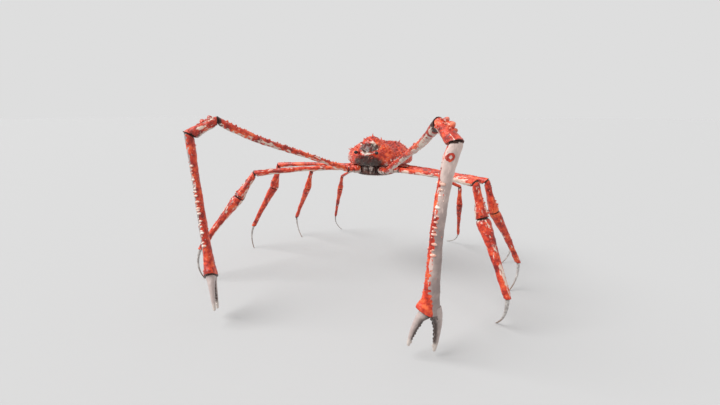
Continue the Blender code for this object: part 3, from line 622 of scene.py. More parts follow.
def carapace_marks(local, facing):
    """Painted shade in the hollow, over the mouth and in the grooves; cream along the brow, grey patches low
    on the flanks.
    """
    x, y, z = local.T
    front = np.clip((-y - 0.098) / 0.020, 0, 1)
    away = np.hypot(x / HOLLOW_HALF_WIDTH, (z - HOLLOW_HEIGHT) / HOLLOW_HALF_HEIGHT)
    # Painted shade: the hollow under the brow is darkened, with pale speckles over it.
    hollow = front * np.clip((1.06 - away) / 0.34, 0, 1)
    rim = front * np.exp(-(((away - 1.02) / 0.20) ** 2))
    brow = rim * np.clip((z - HOLLOW_HEIGHT) / 0.014, 0, 1)
    sill = rim * np.clip((HOLLOW_HEIGHT - 0.010 - z) / 0.012, 0, 1)
    # Painted shade under the face, over the mouth: dark, with pale blobs.
    below = np.hypot(x / MOUTH_SHADE_HALF_WIDTH, (z - MOUTH_SHADE_HEIGHT) / MOUTH_SHADE_HALF_HEIGHT)
    under = np.clip((1.10 - below) / 0.40, 0, 1) * np.clip((-y - 0.070) / 0.03, 0, 1)
    low = np.clip((0.020 - z) / 0.040, 0, 1) * (1 - under)
    blotch = np.exp(-(((z - 0.012) / 0.022) ** 2) - ((y + 0.060) / 0.055) ** 2) * (np.abs(x) > 0.080)
    cheek = np.exp(-(((np.abs(x) - 0.095) / 0.030) ** 2) - ((y + 0.085) / 0.040) ** 2)
    pale = 0.20 + 0.27 * low + 0.30 * blotch + 0.26 * sill + 0.34 * under + 0.30 * hollow
    flecks = 0.20 + 0.62 * brow + 0.40 * sill + 0.50 * cheek + 0.30 * low + 0.30 * hollow + 0.22 * under
    # Painted shade in the grooves between the raised regions, on the top only.
    grooves = np.clip(-hump_grooves(x, y) / 0.012, 0, 1) * (z > 0.015)
    dark = 0.52 * hollow + 0.62 * under + 0.42 * grooves
    return np.stack([pale, flecks, np.clip(dark - 0.30 * sill, 0, 1)], axis=1)


def hump_grooves(x, y):
    """How deep the grooves alone run at a place, as a negative height."""
    total = np.zeros_like(x)
    for across, along, depth, reach in GROOVES:
        for side in {across, -across}:
            total -= depth * np.exp(-((x - side) ** 2 + (y - along) ** 2) / (2 * (reach * 0.45) ** 2))
    return total


def build_carapace():
    bpy.ops.object.select_all(action="DESELECT")
    bpy.ops.mesh.primitive_uv_sphere_add(segments=120, ring_count=84, radius=1)
    carapace = bpy.context.object
    carapace.name = "carapace_shell"
    points, _ = corners_of(carapace)
    move_corners(carapace, shell_dome(points) + np.array(BODY))
    turn_outward(carapace)
    smooth_out(carapace, 1)
    points, facing = corners_of(carapace)
    wrinkles = np.array([noise.fractal(Vector(p) * 42.0, 0.9, 2.0, 3) for p in points])
    move_corners(carapace, points + facing * (wrinkles * 0.0022)[:, None])
    roughen(carapace, 0.0030, 0.0008)
    spines, granules = shell_stands(carapace)
    join_all(carapace, stand_copies(SPINE_MODEL, spines) + stand_copies(KNOB_MODEL, granules))
    mark(carapace, Matrix.Translation(BODY), carapace_marks, squeeze=0.8)
    hand_over(carapace, "red_shell", RED_FINISH, "carapace")
    return carapace


CARAPACE = build_carapace()


# Abdomen
# A male's narrow tail, folded forward and pressed under the sternum: six pale tiles and a blunt
# end plate, each lapping the next, with soft skin hidden between them.

ABDOMEN_BACK = 0.104
ABDOMEN_FRONT = -0.040
ABDOMEN_PROFILE = (
    (0, 0.044), (0.2, 0.060), (0.42, 0.056), (0.62, 0.046), (0.8, 0.036), (0.93, 0.026), (1, 0.012),
)
ABDOMEN_TILES = 7


def width_along(profile, share):
    """The width at a share of the length, straight between the profile's stations."""
    shares, widths = zip(*profile)
    return float(np.interp(share, shares, widths))


def build_abdomen():
    tiles = []
    for k in range(ABDOMEN_TILES):
        first = k / ABDOMEN_TILES
        last = (k + 1) / ABDOMEN_TILES
        length = (ABDOMEN_BACK - ABDOMEN_FRONT) * (last - first)
        width = width_along(ABDOMEN_PROFILE, (first + last) / 2)
        y = ABDOMEN_BACK + (ABDOMEN_FRONT - ABDOMEN_BACK) * (first + last) / 2
        bpy.ops.object.select_all(action="DESELECT")
        bpy.ops.mesh.primitive_cube_add(size=1)
        tile = bpy.context.object
        tile.data.transform(Matrix.Diagonal((width, length * 1.06, 0.0075 - 0.0025 * first, 1)))
        cut_up(tile, 5)
        points, _ = corners_of(tile)
        rim = np.abs(points[:, 0]) / (width / 2)
        ahead = points[:, 1] / length
        crowned = points[:, 2] * (1 - 0.55 * rim**3) + 0.0012 * ahead
        points[:, 2] = np.where(points[:, 2] < 0, crowned, points[:, 2])
        move_corners(tile, points)
        smooth_out(tile, 2)
        set_in_place(tile, Matrix.Translation(BODY + Vector((0, y, -0.0842))))
        tiles.append(tile)
    abdomen = tiles[0]
    abdomen.name = "abdomen_tiles"
    join_all(abdomen, tiles[1:])
    step = (ABDOMEN_BACK - ABDOMEN_FRONT) / ABDOMEN_TILES
    mark(abdomen, Matrix.Translation(BODY), lambda local, facing: np.stack([
        np.full(len(local), 0.72), np.full(len(local), 0.30),
        0.55 * np.exp(-((((local[:, 1] - ABDOMEN_FRONT + step / 2) % step - step / 2) / 0.0022) ** 2)),
    ], axis=1))
    hand_over(abdomen, "pale_shell", PALE_FINISH, "abdomen")


build_abdomen()


# Coxae
# The short stout joints between the sternum and the long pieces: each limb's coxa, and the ischium
# that is fused to it, of red shell above and pale beneath, with a dark seam of skin between them.

ROOTS = {
    "claw": (0.104, -0.164, -0.048), "leg_1": (0.147, -0.085, -0.048), "leg_2": (0.157, -0.003, -0.048),
    "leg_3": (0.147, 0.077, -0.048), "leg_4": (0.107, 0.152, -0.048),
}
# Each limb's pose: for each piece its swing forward from straight out and its rise, in degrees.
POSE = {
    ("claw", "left"): ((56, 22), (50, -29), (172, -84)),
    ("claw", "right"): ((53, 22), (52, -27), (150, -76)),
    ("leg_1", "left"): ((33, 0), (22, -74), (45, -58), (58, -117)),
    ("leg_1", "right"): ((27, -3), (38, -55), (45, -51), (44, -93)),
    ("leg_2", "left"): ((22, -2), (-23, -73), (-45, -58), (-45, -107)),
    ("leg_2", "right"): ((1, -2), (-15, -70), (-6, -56), (61, -88)),
    ("leg_3", "left"): ((-23, -11), (-22, -75), (-40, -59), (-40, -122)),
    ("leg_3", "right"): ((-24, -10), (-31, -66), (-33, -53), (-30, -119)),
    ("leg_4", "left"): ((-40, -22), (-93, -75), (-98, -58), (-136, -34)),
    ("leg_4", "right"): ((-40, -19), (-56, -51), (-50, -59), (-101, -57)),
}
# The lengths of each limb's merus, carpus and propodus or palm.
LENGTHS = {
    "claw": (0.68, 0.13, 0.59), "leg_1": (0.48, 0.15, 0.33), "leg_2": (0.455, 0.145, 0.32),
    "leg_3": (0.435, 0.135, 0.30), "leg_4": (0.385, 0.12, 0.265),
}
THICKNESS = {"leg_1": 0.028, "leg_2": 0.024, "leg_3": 0.020, "leg_4": 0.016}
LEG_FLATNESS = 0.88
COXA_PROFILE = (
    (0, 1.40), (0.15, 1.50), (0.40, 1.46), (0.50, 1.30), (0.55, 1.02), (0.62, 1.12), (0.80, 1.16), (1, 1.04),
)
CLAW_COXA_PROFILE = (
    (0, 0.040), (0.15, 0.042), (0.40, 0.040), (0.50, 0.037), (0.55, 0.028), (0.62, 0.031), (0.80, 0.032),
    (1, 0.028),
)
# How far a shell stops short of its joint, and how far back its rolled rim starts.
SEAM = 0.0013
RIM = 0.0042
# The distance between two pale stripes along a limb.
TONGUE_STEP = 0.021
# How far the shell stops short of a joint on the inside of its bend.
KNEE_OPENING = 0.011


@dataclass
class Limb:
    """One length of a limb: a tube between two joints, cut at each end on the joint's plane."""

    start: Vector
    end: Vector
    across: Vector
    up: Vector
    profile: tuple
    flatness: float
    start_cut: Vector
    end_cut: Vector
    bow: tuple = (0.0, 0.0)
    bow_place: float = 0.5
    start_inside: Vector = Vector((0, 0, 0))
    end_inside: Vector = Vector((0, 0, 0))

    @property
    def length(self):
        return (self.end - self.start).length

    @property
    def axis(self):
        return (self.end - self.start).normalized()

    @property
    def place(self):
        """From the piece's own frame, across, up and along, to the world."""
        rows = Matrix((self.across, self.up, self.axis)).transposed().to_4x4()
        return Matrix.Translation(self.start) @ rows

    def bowed(self, share):
        """How far the middle line leaves the straight one."""
        share = min(max(share, 0), 1)
        before = max(1, self.bow_place / (1 - self.bow_place))
        after = max(1, (1 - self.bow_place) / self.bow_place)
        deepest = self.bow_place**before * (1 - self.bow_place) ** after
        depth = share**before * (1 - share) ** after / deepest
        return np.array((self.bow[0] * depth, self.bow[1] * depth))

    def spot(self, piece, share, turn):
        """The place on a finished piece at a share of its length and a turn, and its facing."""
        shift = self.bowed(share)
        inside = self.place @ Vector((shift[0], shift[1], share * self.length))
        way = self.place.to_3x3() @ Vector((math.cos(turn), math.sin(turn), 0))
        _, spot, facing, _ = piece.ray_cast(inside, way)
        return spot, facing


def draw_out(name, rings, sides):
    """A closed tube drawn out ring by ring along +Z: (height, half width, half depth, x, y)."""
    bpy.ops.object.select_all(action="DESELECT")
    bpy.ops.mesh.primitive_circle_add(vertices=sides, radius=1, fill_type="NGON")
    tube = bpy.context.object
    tube.name = name
    bpy.ops.object.mode_set(mode="EDIT")
    for _ in rings[1:]:
        bpy.ops.mesh.extrude_region_move(TRANSFORM_OT_translate={"value": (0, 0, 1)})
    bpy.ops.object.mode_set(mode="OBJECT")
    points, _ = corners_of(tube)
    table = np.array(rings)[np.round(points[:, 2]).astype(int)]
    turns = np.arctan2(points[:, 1], points[:, 0])
    points[:, 0] = table[:, 3] + table[:, 1] * np.cos(turns)
    points[:, 1] = table[:, 4] + table[:, 2] * np.sin(turns)
    points[:, 2] = table[:, 0]
    move_corners(tube, points)
    return tube


# A smoothed ring of this many sides draws in by this much, so each ring starts wider.
TUBE_SIDES = 10
DRAWN_IN = (2 + math.cos(2 * math.pi / TUBE_SIDES)) / 3


def limb_rings(limb, mouth):
    """The rings of a limb piece: a rounded root, its profile, and a rolled rim round an open mouth."""
    length = limb.length
    stations = [(share * length, width) for share, width in limb.profile]
    first = stations[0][1]
    last = stations[-1][1]
    inner = [(z, width) for z, width in stations if 0.010 < z < length - 0.012]
    rings = [(SEAM, first * 0.55), (SEAM, first * 0.90), (SEAM + 0.0022, first), (0.009, first * 1.02)]
    rings += inner
    rings += [(length - 0.0100, last), (length - RIM, last * 1.03), (length - SEAM - 0.0006, last * 1.02)]
    if mouth:
        rings += [(length - SEAM, last * 0.88), (length - 0.0045, last * 0.78), (length - 0.011, last * 0.70)]
        rings += [(length - 0.012, last * 0.30)]
    else:
        rings += [(length - SEAM, last * 0.90), (length - SEAM, last * 0.50)]
    full = []
    for z, width in rings:
        x, y = limb.bowed(z / length)
        half = width / 2 / DRAWN_IN
        full.append((z, half, half * limb.flatness, x, y))
    return full


def lean_ends(tube, limb):
    """Slides each ring near an end over to the plane of its joint."""
    points, _ = corners_of(tube)
    length = limb.length
    fade = min(length, 1.6 * max(width for _, width in limb.profile))
    turn = np.array(limb.place.to_3x3())
    start_cut = turn.T @ np.array(limb.start_cut)
    end_cut = turn.T @ np.array(limb.end_cut)
    middle = np.array([limb.bowed(z / length) for z in points[:, 2]])
    reach = points[:, :2] - middle
    lean_start = np.maximum(0, 1 - points[:, 2] / fade)
    lean_end = np.maximum(0, 1 - (length - points[:, 2]) / fade)
    points[:, 2] -= lean_start * (reach @ start_cut[:2]) / start_cut[2]
    points[:, 2] -= lean_end * (reach @ end_cut[:2]) / end_cut[2]
    facing = reach / np.maximum(np.linalg.norm(reach, axis=1), 1e-6)[:, None]
    for inside, sign, fading in ((limb.start_inside, 1, lean_start), (limb.end_inside, -1, lean_end)):
        toward = facing @ (turn.T @ np.array(inside))[:2]
        points[:, 2] += sign * KNEE_OPENING * np.clip(toward, 0, 1) * fading**2
    move_corners(tube, points)


def cast_limb(name, limb, mouth=True, lumps=0.0026):
    """Makes a limb piece's shell."""
    piece = draw_out(name, limb_rings(limb, mouth), TUBE_SIDES)
    lean_ends(piece, limb)
    set_in_place(piece, limb.place)
    smooth_out(piece, 3)
    roughen(piece, lumps, pit_depth=0.0006, swell_depth=0.0060)
    return piece


def limb_marks(limb, pale_turn, cover, flecks, seam_at=None, sharp=0.42, tongues=0.0, collar=0.0, mouth=True):
    """Marks of a limb piece: pale about one side, more flecks along its edge, dark at its seams.

    Tongues are pale stripes that cross the pale side's edge, a collar is the length of the far end
    that is dark, and an open mouth is dark inside.
    """
    aim = np.array((math.cos(pale_turn), math.sin(pale_turn)))
    turned = np.array(limb.place.to_3x3().transposed())
    start_cut = turned @ np.array(limb.start_cut)
    end_cut = turned @ np.array(limb.end_cut)

    def marks(local, facing):
        towards = facing[:, :2] @ aim
        pale = 0.5 + (towards - cover) * sharp
        edge = np.exp(-(((towards - cover + 0.25) / 0.30) ** 2))
        drift = 0.30 * np.sin(local[:, 2] * 47.0) + 0.14 * np.sin(local[:, 2] * 113.0 + 1.0)
        stripes = np.cos(2 * math.pi * (local[:, 2] / TONGUE_STEP + towards * 0.35 + drift))
        stripes *= 0.72 + 0.28 * np.sin(local[:, 2] * 71.0 + 2.0)
        pale += tongues * stripes * np.exp(-(((towards - cover + 0.10) / 0.34) ** 2))
        from_start = local @ start_cut
        from_end = (np.array((0, 0, limb.length)) - local) @ end_cut
        at_start = np.clip(facing @ (turned @ np.array(limb.start_inside)), 0, 1)
        at_end = np.clip(facing @ (turned @ np.array(limb.end_inside)), 0, 1)
        dark = 0.85 * np.exp(-((np.maximum(from_start - SEAM, 0) / (0.0036 + 0.011 * at_start)) ** 2))
        dark += 0.75 * np.exp(-((np.maximum(from_end - SEAM, 0) / (0.0014 + 0.010 * at_end)) ** 2))
        dark += 0.60 * np.clip((collar - from_end) / 0.010, 0, 1)
        if mouth:
            dark += 0.9 * ((facing[:, 2] < -0.2) & (from_end < 0.016))
        if seam_at is not None:
            dark += 0.75 * np.exp(-(((local[:, 2] / limb.length - seam_at) / 0.030) ** 2))
        return np.stack([pale, flecks + 0.45 * edge, np.clip(dark, 0, 0.94)], axis=1)

    return marks


def add_knobs(piece, limb, model, stands):
    """Joins knobs or spines to a limb piece: (share, turn, height, half width, lean along)."""
    places = []
    for share, turn, height, half, lean in stands:
        spot, facing = limb.spot(piece, share, turn)
        way = (facing + limb.axis * lean).normalized()
        places.append((spot - way * half * 0.3, way, height + half * 0.3, half, share * 9))
    join_all(piece, stand_copies(model, places))


def direction(side, swing, rise):
    swing = math.radians(swing)
    rise = math.radians(rise)
    level = math.cos(rise)
    return Vector((out_of(side) * math.cos(swing) * level, -math.sin(swing) * level, math.sin(rise)))


def limb_frame(side, swing, rise):
    """The piece's level cross direction, and the outward one square to both."""
    across = Vector((out_of(side) * math.sin(math.radians(swing)), math.cos(math.radians(swing)), 0))
    return across, direction(side, swing, rise).cross(across) * out_of(side)


def inside_bend(before, after):
    """The way from a joint to the inside of its bend, none where the limb runs straight on."""
    bend = after - before
    return bend.normalized() * min(bend.length / 1.3, 1)


def half_way(first, second):
    return (first.normalized() + second.normalized()).normalized()


def dark_skin():
    """Dry brown skin between the shells of a joint."""
    made = bpy.data.materials.new("joint_skin")
    made.use_nodes = True
    tree = made.node_tree
    shader = tree.nodes["Principled BSDF"]
    place = object_place(tree)
    folds = clouds(tree, place, 0.0030)
    colour = blend(tree, between(tree, folds, 0.35, 0.70), (0.012, 0.006, 0.005, 1), (0.085, 0.030, 0.018, 1))
    tree.links.new(colour, shader.inputs["Base Color"])
    tree.links.new(between(tree, folds, 0.3, 0.7, 0.55, 0.80), shader.inputs["Roughness"])
    bump = node(tree, "Bump", {"Height": folds, "Distance": 0.0012, "Strength": 0.7})
    tree.links.new(bump.outputs["Normal"], shader.inputs["Normal"])
    return made


JOINT_SKIN = dark_skin()


def scaled(profile, size):
    return tuple((share, width * size) for share, width in profile)


def profile_of(limb_name, legs, claw):
    return claw if limb_name == "claw" else scaled(legs, THICKNESS[limb_name])


def joints_of(limb_name, side):
    """Each joint of a limb from its root outward, and the ways of its pieces."""
    x, y, z = ROOTS[limb_name]
    here = BODY + Vector((out_of(side) * x, y, z))
    ways = [direction(side, *turn) for turn in POSE[(limb_name, side)]]
    joints = [here]
    for way, length in zip(ways, LENGTHS[limb_name]):
        joints.append(joints[-1] + way * length)
    return joints, ways


def build_coxa(limb_name, side):
    start, facing = socket_centre(limb_name, side)
    joints, ways = joints_of(limb_name, side)
    axis = (joints[0] - start).normalized()
    across = Vector((0, 0, 1)).cross(axis).normalized()
    limb = Limb(
        start, joints[0], across, axis.cross(across),
        profile_of(limb_name, COXA_PROFILE, CLAW_COXA_PROFILE), LEG_FLATNESS,
        facing, half_way(axis, ways[0]),
    )
    piece = cast_limb(f"{limb_name}_{side}_coxa_shell", limb, lumps=0.0020)
    draw = random.Random(f"{limb_name} {side}")
    stands = [(0.27, math.pi / 2 + draw.uniform(-0.9, 0.9), 0.004, 0.0028, 0) for _ in range(4)]
    add_knobs(piece, limb, KNOB_MODEL, stands)
    mark(piece, limb.place, limb_marks(limb, -math.pi / 2, 0.02, 0.40, seam_at=0.55))
    hand_over(piece, "red_shell", RED_FINISH, f"{limb_name}_{side}_coxa")
    return axis


COXA_WAYS = {key: build_coxa(*key) for key in POSE}


# Walking legs
# Four pairs of stilts: merus, carpus and propodus of orange-red shell, mottled with cream, ending in
# a thin curved needle of bare grey horn. Dry dark skin closes each joint.

MERUS_PROFILE = (
    (0, 0.98), (0.04, 1.12), (0.12, 1.02), (0.30, 0.98), (0.45, 1.01), (0.60, 1.06), (0.78, 1.16),
    (0.88, 1.28), (0.94, 1.38), (1, 1.28),
)
CARPUS_PROFILE = (
    (0, 1.18), (0.10, 1.34), (0.22, 1.26), (0.38, 1.32), (0.58, 1.56), (0.72, 1.84), (0.84, 2.10),
    (0.93, 2.28), (1, 2.18),
)
PROPODUS_PROFILE = (
    (0, 2.06), (0.05, 2.24), (0.14, 2.10), (0.30, 1.70), (0.42, 1.50), (0.55, 1.36), (0.68, 1.24),
    (0.80, 1.15), (0.93, 1.24), (1, 1.04),
)
NEEDLE_PROFILE = ((0, 0.66), (0.10, 0.62), (0.32, 0.50), (0.60, 0.36), (0.85, 0.25), (1, 0.20))
LEG_BOWS = {"merus": 0.016, "carpus": 0.0, "propodus": 0.012}
NEEDLE_BOW = 0.13
# Bumps on each leg piece: how many, and their size as a share of the width.
LEG_BUMPS = {"merus": (26, 0.060), "carpus": (12, 0.075), "propodus": (24, 0.055)}
PALE_COVER = {"merus": 0.70, "carpus": 1.05, "propodus": 1.25}
LEG_FLECKS = {"leg_1": 0.74, "leg_2": 0.36, "leg_3": 0.28, "leg_4": 0.22}


def needle_finish():
    """Bare horn: grey white at the root, going to brown at the point, with fine long grain."""
    made = bpy.data.materials.new("needle_horn")
    made.use_nodes = True
    tree = made.node_tree
    shader = tree.nodes["Principled BSDF"]
    marks = node(tree, "SeparateXYZ", {0: attribute(tree, "marks")}).outputs
    grain = clouds(tree, attribute(tree, "grain_place"), 0.0022)
    stain = clouds(tree, object_place(tree), 0.012)
    horn = blend(tree, between(tree, stain, 0.35, 0.70), (0.34, 0.31, 0.295, 1), (0.62, 0.59, 0.56, 1))
    horn = blend(tree, between(tree, marks["X"], 0.45, 0.95), horn, (0.20, 0.115, 0.070, 1))
    horn = blend(tree, between(tree, grain, 0.56, 0.72), horn, (0.15, 0.11, 0.09, 1))
    tree.links.new(horn, shader.inputs["Base Color"])
    tree.links.new(between(tree, grain, 0.3, 0.7, 0.34, 0.52), shader.inputs["Roughness"])
    bump = node(tree, "Bump", {"Height": grain, "Distance": 0.0007, "Strength": 0.5})
    tree.links.new(bump.outputs["Normal"], shader.inputs["Normal"])
    return made


NEEDLE_FINISH = needle_finish()


def skin_ball(joint, way, size):
    """One joint's soft skin: a ball a little flatter along the limb."""
    bpy.ops.object.select_all(action="DESELECT")
    bpy.ops.mesh.primitive_uv_sphere_add(segments=20, ring_count=12, radius=1)
    ball = bpy.context.object
    aim = way.to_track_quat("Z", "Y").to_matrix().to_4x4()
    set_in_place(ball, Matrix.Translation(joint) @ aim @ Matrix.Diagonal((size, size * 0.95, size * 0.62, 1)))
    return ball


def build_skins(limb_name, side, joints, ways, widths):
    """The skin of all of a limb's joints, as one piece."""
    balls = []
    for joint, before, after, width in zip(joints, ways, ways[1:], widths):
        balls.append(skin_ball(joint, half_way(before, after), width * 0.40))
    skins = balls[0]
    skins.name = f"{limb_name}_{side}_joint_skins"
    join_all(skins, balls[1:])
    finish_with(skins, "DISPLACE", texture=PITS, strength=0.0012, mid_level=0.5)
    hand_over(skins, None, JOINT_SKIN)


def scatter(seed, count, wide, low=0.07, high=0.93, spread=1.9, centre=math.pi / 2):
    """Small bumps spread along a piece, thickest about its upper side."""
    draw = random.Random(seed)
    stands = []
    for k in range(count):
        share = low + (high - low) * (k + draw.uniform(0.0, 1.0)) / count
        turn = centre + draw.uniform(-1, 1) ** 3 * spread + draw.uniform(-0.3, 0.3)
        half = wide(share) * draw.uniform(0.6, 1.25)
        stands.append((share, turn, half * draw.uniform(0.7, 1.2), half, 0.25))
    return stands


def build_leg(limb_name, side):
    joints, ways = joints_of(limb_name, side)
    size = THICKNESS[limb_name]
    before = COXA_WAYS[(limb_name, side)]
    profiles = {"merus": MERUS_PROFILE, "carpus": CARPUS_PROFILE, "propodus": PROPODUS_PROFILE}
    for k, (name, profile) in enumerate(profiles.items()):
        across, up = limb_frame(side, *POSE[(limb_name, side)][k])
        length = LENGTHS[limb_name][k]
        limb = Limb(
            joints[k], joints[k + 1], across, up, scaled(profile, size), LEG_FLATNESS,
            half_way(before, ways[k]), half_way(ways[k], ways[k + 1]), bow=(0.0, LEG_BOWS[name] * length),
            end_inside=inside_bend(ways[k], ways[k + 1]),
        )
        if k:
            limb.start_inside = inside_bend(before, ways[k])
        piece = cast_limb(f"{limb_name}_{side}_{name}_shell", limb)
        count, share_of_width = LEG_BUMPS[name]
        seed = f"{limb_name} {side} {name}"
        wide = lambda share: share_of_width * width_along(limb.profile, share)
        add_knobs(piece, limb, KNOB_MODEL, scatter(seed, count, wide))
        cover = PALE_COVER[name] + (0.0 if limb_name == "leg_1" else 0.25)
        mark(piece, limb.place, limb_marks(limb, -math.pi / 2, cover, LEG_FLECKS[limb_name]))
        hand_over(piece, "red_shell", RED_FINISH, f"{limb_name}_{side}_{name}")
        before = ways[k]
    build_needle(limb_name, side, joints[3], before, ways[3])
    widths = [size * 1.0, size * 1.22, size * 2.05, size * 0.72]
    build_skins(limb_name, side, joints, [COXA_WAYS[(limb_name, side)], *ways], widths)


def build_needle(limb_name, side, joint, before, way):
    """The leg's last piece, which stands on the floor on a small flat."""
    across, up = limb_frame(side, *POSE[(limb_name, side)][3])
    end = joint + way * (joint.z / -way.z)
    bend = (before - way * before.dot(way)).normalized()
    depth = NEEDLE_BOW * (end - joint).length
    limb = Limb(
        joint, end, across, up, scaled(NEEDLE_PROFILE, THICKNESS[limb_name]), LEG_FLATNESS,
        half_way(before, way), Vector((0, 0, -1)), bow=(bend.dot(across) * depth, bend.dot(up) * depth),
    )
    length = limb.length
    rings = []
    steps = 14
    for k in range(steps + 1):
        share = k / steps
        x, y = limb.bowed(share)
        half = width_along(limb.profile, share) / 2 / DRAWN_IN
        rings.append((max(share * length, SEAM), half, half * limb.flatness, x, y))
    rings.insert(0, (SEAM, rings[0][1] * 0.6, rings[0][2] * 0.6, 0, 0))
    rings.append((length, rings[-1][1] * 0.6, rings[-1][2] * 0.6, rings[-1][3], rings[-1][4]))
    piece = draw_out(f"{limb_name}_{side}_needle", rings, TUBE_SIDES)
    lean_ends(piece, limb)
    set_in_place(piece, limb.place)
    smooth_out(piece, 2)
    finish_with(piece, "DISPLACE", texture=PITS, strength=0.0004, mid_level=0.5)
    points, _ = corners_of(piece)
    points[:, 2] = np.maximum(points[:, 2], 0.0)
    move_corners(piece, points)
    mark(piece, limb.place, lambda local, facing: np.stack([
        local[:, 2] / length, np.zeros(len(local)), np.zeros(len(local)),
    ], axis=1), squeeze=0.08)
    hand_over(piece, "needle", NEEDLE_FINISH, f"{limb_name}_{side}_dactylus")


for limb_name in THICKNESS:
    for side in ("left", "right"):
        build_leg(limb_name, side)


# Claw limbs
# The long front pair: merus and carpus of red shell, then a long flattened palm that is pale on its
# inner face and red with white nodules on its edge, ending in a fixed finger that a moving one meets.

CLAW_MERUS_PROFILE = (
    (0, 0.026), (0.04, 0.029), (0.15, 0.026), (0.35, 0.028), (0.47, 0.030), (0.58, 0.032), (0.68, 0.034),
    (0.78, 0.036), (0.88, 0.040), (0.94, 0.042), (1, 0.040),
)
CLAW_CARPUS_PROFILE = (
    (0, 0.038), (0.12, 0.044), (0.35, 0.044), (0.52, 0.047), (0.68, 0.051), (0.84, 0.056), (0.93, 0.059),
    (1, 0.056),
)
PALM_PROFILE = (
    (0, 0.050), (0.04, 0.055), (0.12, 0.048), (0.21, 0.046), (0.30, 0.045), (0.41, 0.0455), (0.52, 0.046),
    (0.62, 0.048), (0.72, 0.050), (0.80, 0.0535), (0.86, 0.057), (0.91, 0.065), (0.95, 0.072), (1, 0.078),
)
PALM_FLATNESS = 0.70
CLAW_SPREAD = {"left": 202, "right": 306}
PALM_BOW = {"left": 0.017, "right": 0.003}
PALM_BOW_PLACE = 0.36
CLAW_MERUS_SAG = -0.015
CLAW_MERUS_SAG_PLACE = 0.72
PALM_END_SLANT = math.radians(22.0)
KNUCKLE_SWELL = 0.010
FINGER_LENGTH = 0.140
MOVING_PROFILE = (
    (0, 0.046), (0.07, 0.045), (0.14, 0.038), (0.22, 0.0325), (0.36, 0.0275), (0.52, 0.0235), (0.68, 0.0195),
    (0.82, 0.0160), (0.92, 0.0142), (1, 0.0120),
)
FIXED_PROFILE = (
    (0, 0.044), (0.14, 0.048), (0.22, 0.047), (0.29, 0.040), (0.36, 0.0325), (0.48, 0.0275), (0.62, 0.0235),
    (0.76, 0.0190), (0.90, 0.0155), (1, 0.0120),
)
# How far each finger's root swells towards the other one, so that they meet in a round notch.
ROOT_SWELL = 0.006
FINGER_FLATNESS = 0.86
FINGER_PALE = {"left": 0.0, "right": 1.0}
FINGER_BOW = 0.007
FIXED_OFFSET = 0.025
FIXED_OPENING = math.radians(5.0)
FIXED_ROOT = 0.034
MOVING_OFFSET = 0.018
MOVING_OPENING = math.radians(16.0)
MERUS_PALE = 0.80
MERUS_COLLAR = {"left": 0.034, "right": 0.020}
# The large knobs of the carpus: share of its length, turn in degrees, half width.
CARPUS_KNOBS = ((0.14, 52, 0.0105), (0.26, 22, 0.0130), (0.40, 44, 0.0120), (0.50, 14, 0.0095))
# Rows of nodules on each palm: turn in degrees, how many, half width and stretch across the palm.
NODULE_ROWS = {
    "left": ((-58, 14, 0.0046, 1.9), (-38, 11, 0.0034, 1.3), (12, 14, 0.0032, 1.0), (34, 14, 0.0036, 1.0)),
    "right": ((16, 26, 0.0046, 1.7), (36, 16, 0.0034, 1.2), (-150, 18, 0.0030, 1.0), (150, 18, 0.0030, 1.0)),
}
PALM_PALE_TURN = {"left": -130, "right": 100}
PALM_PALE_COVER = {"left": 0.52, "right": 0.44}
PALM_WRIST_PALE = {"left": 1.0, "right": 0.0}
# Where the nodules start along a palm, and how far each palm's reach from there, as shares of it.
NODULE_START = 0.22
NODULE_REACH = {"left": 0.43, "right": 0.58}


def finger_finish():
    """Horny fingers: grey brown, dark along the biting edge, with pale blunt points."""
    made = bpy.data.materials.new("claw_finger")
    made.use_nodes = True
    tree = made.node_tree
    shader = tree.nodes["Principled BSDF"]
    marks = node(tree, "SeparateXYZ", {0: attribute(tree, "marks")}).outputs
    grain = clouds(tree, attribute(tree, "grain_place"), 0.004)
    stain = clouds(tree, object_place(tree), 0.015)
    horn = blend(tree, between(tree, stain, 0.34, 0.72), (0.20, 0.155, 0.140, 1), (0.38, 0.310, 0.285, 1))
    edge = sums(tree, "ADD", marks["X"], sums(tree, "MULTIPLY_ADD", stain, 0.25, -0.125))
    horn = blend(tree, sums(tree, "MULTIPLY", marks["Z"], 0.75), horn, (0.56, 0.45, 0.42, 1))
    horn = blend(tree, between(tree, edge, 0.44, 0.72), horn, (0.050, 0.028, 0.022, 1))
    horn = blend(tree, between(tree, marks["Y"], 0.30, 0.80), horn, (0.58, 0.50, 0.45, 1))
    horn = blend(tree, between(tree, grain, 0.68, 0.80), horn, (0.62, 0.55, 0.50, 1))
    tree.links.new(horn, shader.inputs["Base Color"])
    tree.links.new(between(tree, grain, 0.3, 0.7, 0.26, 0.48), shader.inputs["Roughness"])
    bump = node(tree, "Bump", {"Height": grain, "Distance": 0.0012, "Strength": 0.6})
    tree.links.new(bump.outputs["Normal"], shader.inputs["Normal"])
    shader.inputs["Coat Weight"].default_value = 0.25
    return made


FINGER_FINISH = finger_finish()
PALM_FINISH = shell_finish("palm_shell", pale=(0.25, 0.190, 0.180, 1), cream=(0.66, 0.51, 0.46, 1))
NODULE_FINISH = shell_finish(
    "nodule_shell", red=(0.82, 0.42, 0.30, 1), deep=(0.60, 0.18, 0.11, 1), pale=(0.78, 0.66, 0.58, 1),
    cream=(0.90, 0.82, 0.74, 1),
)


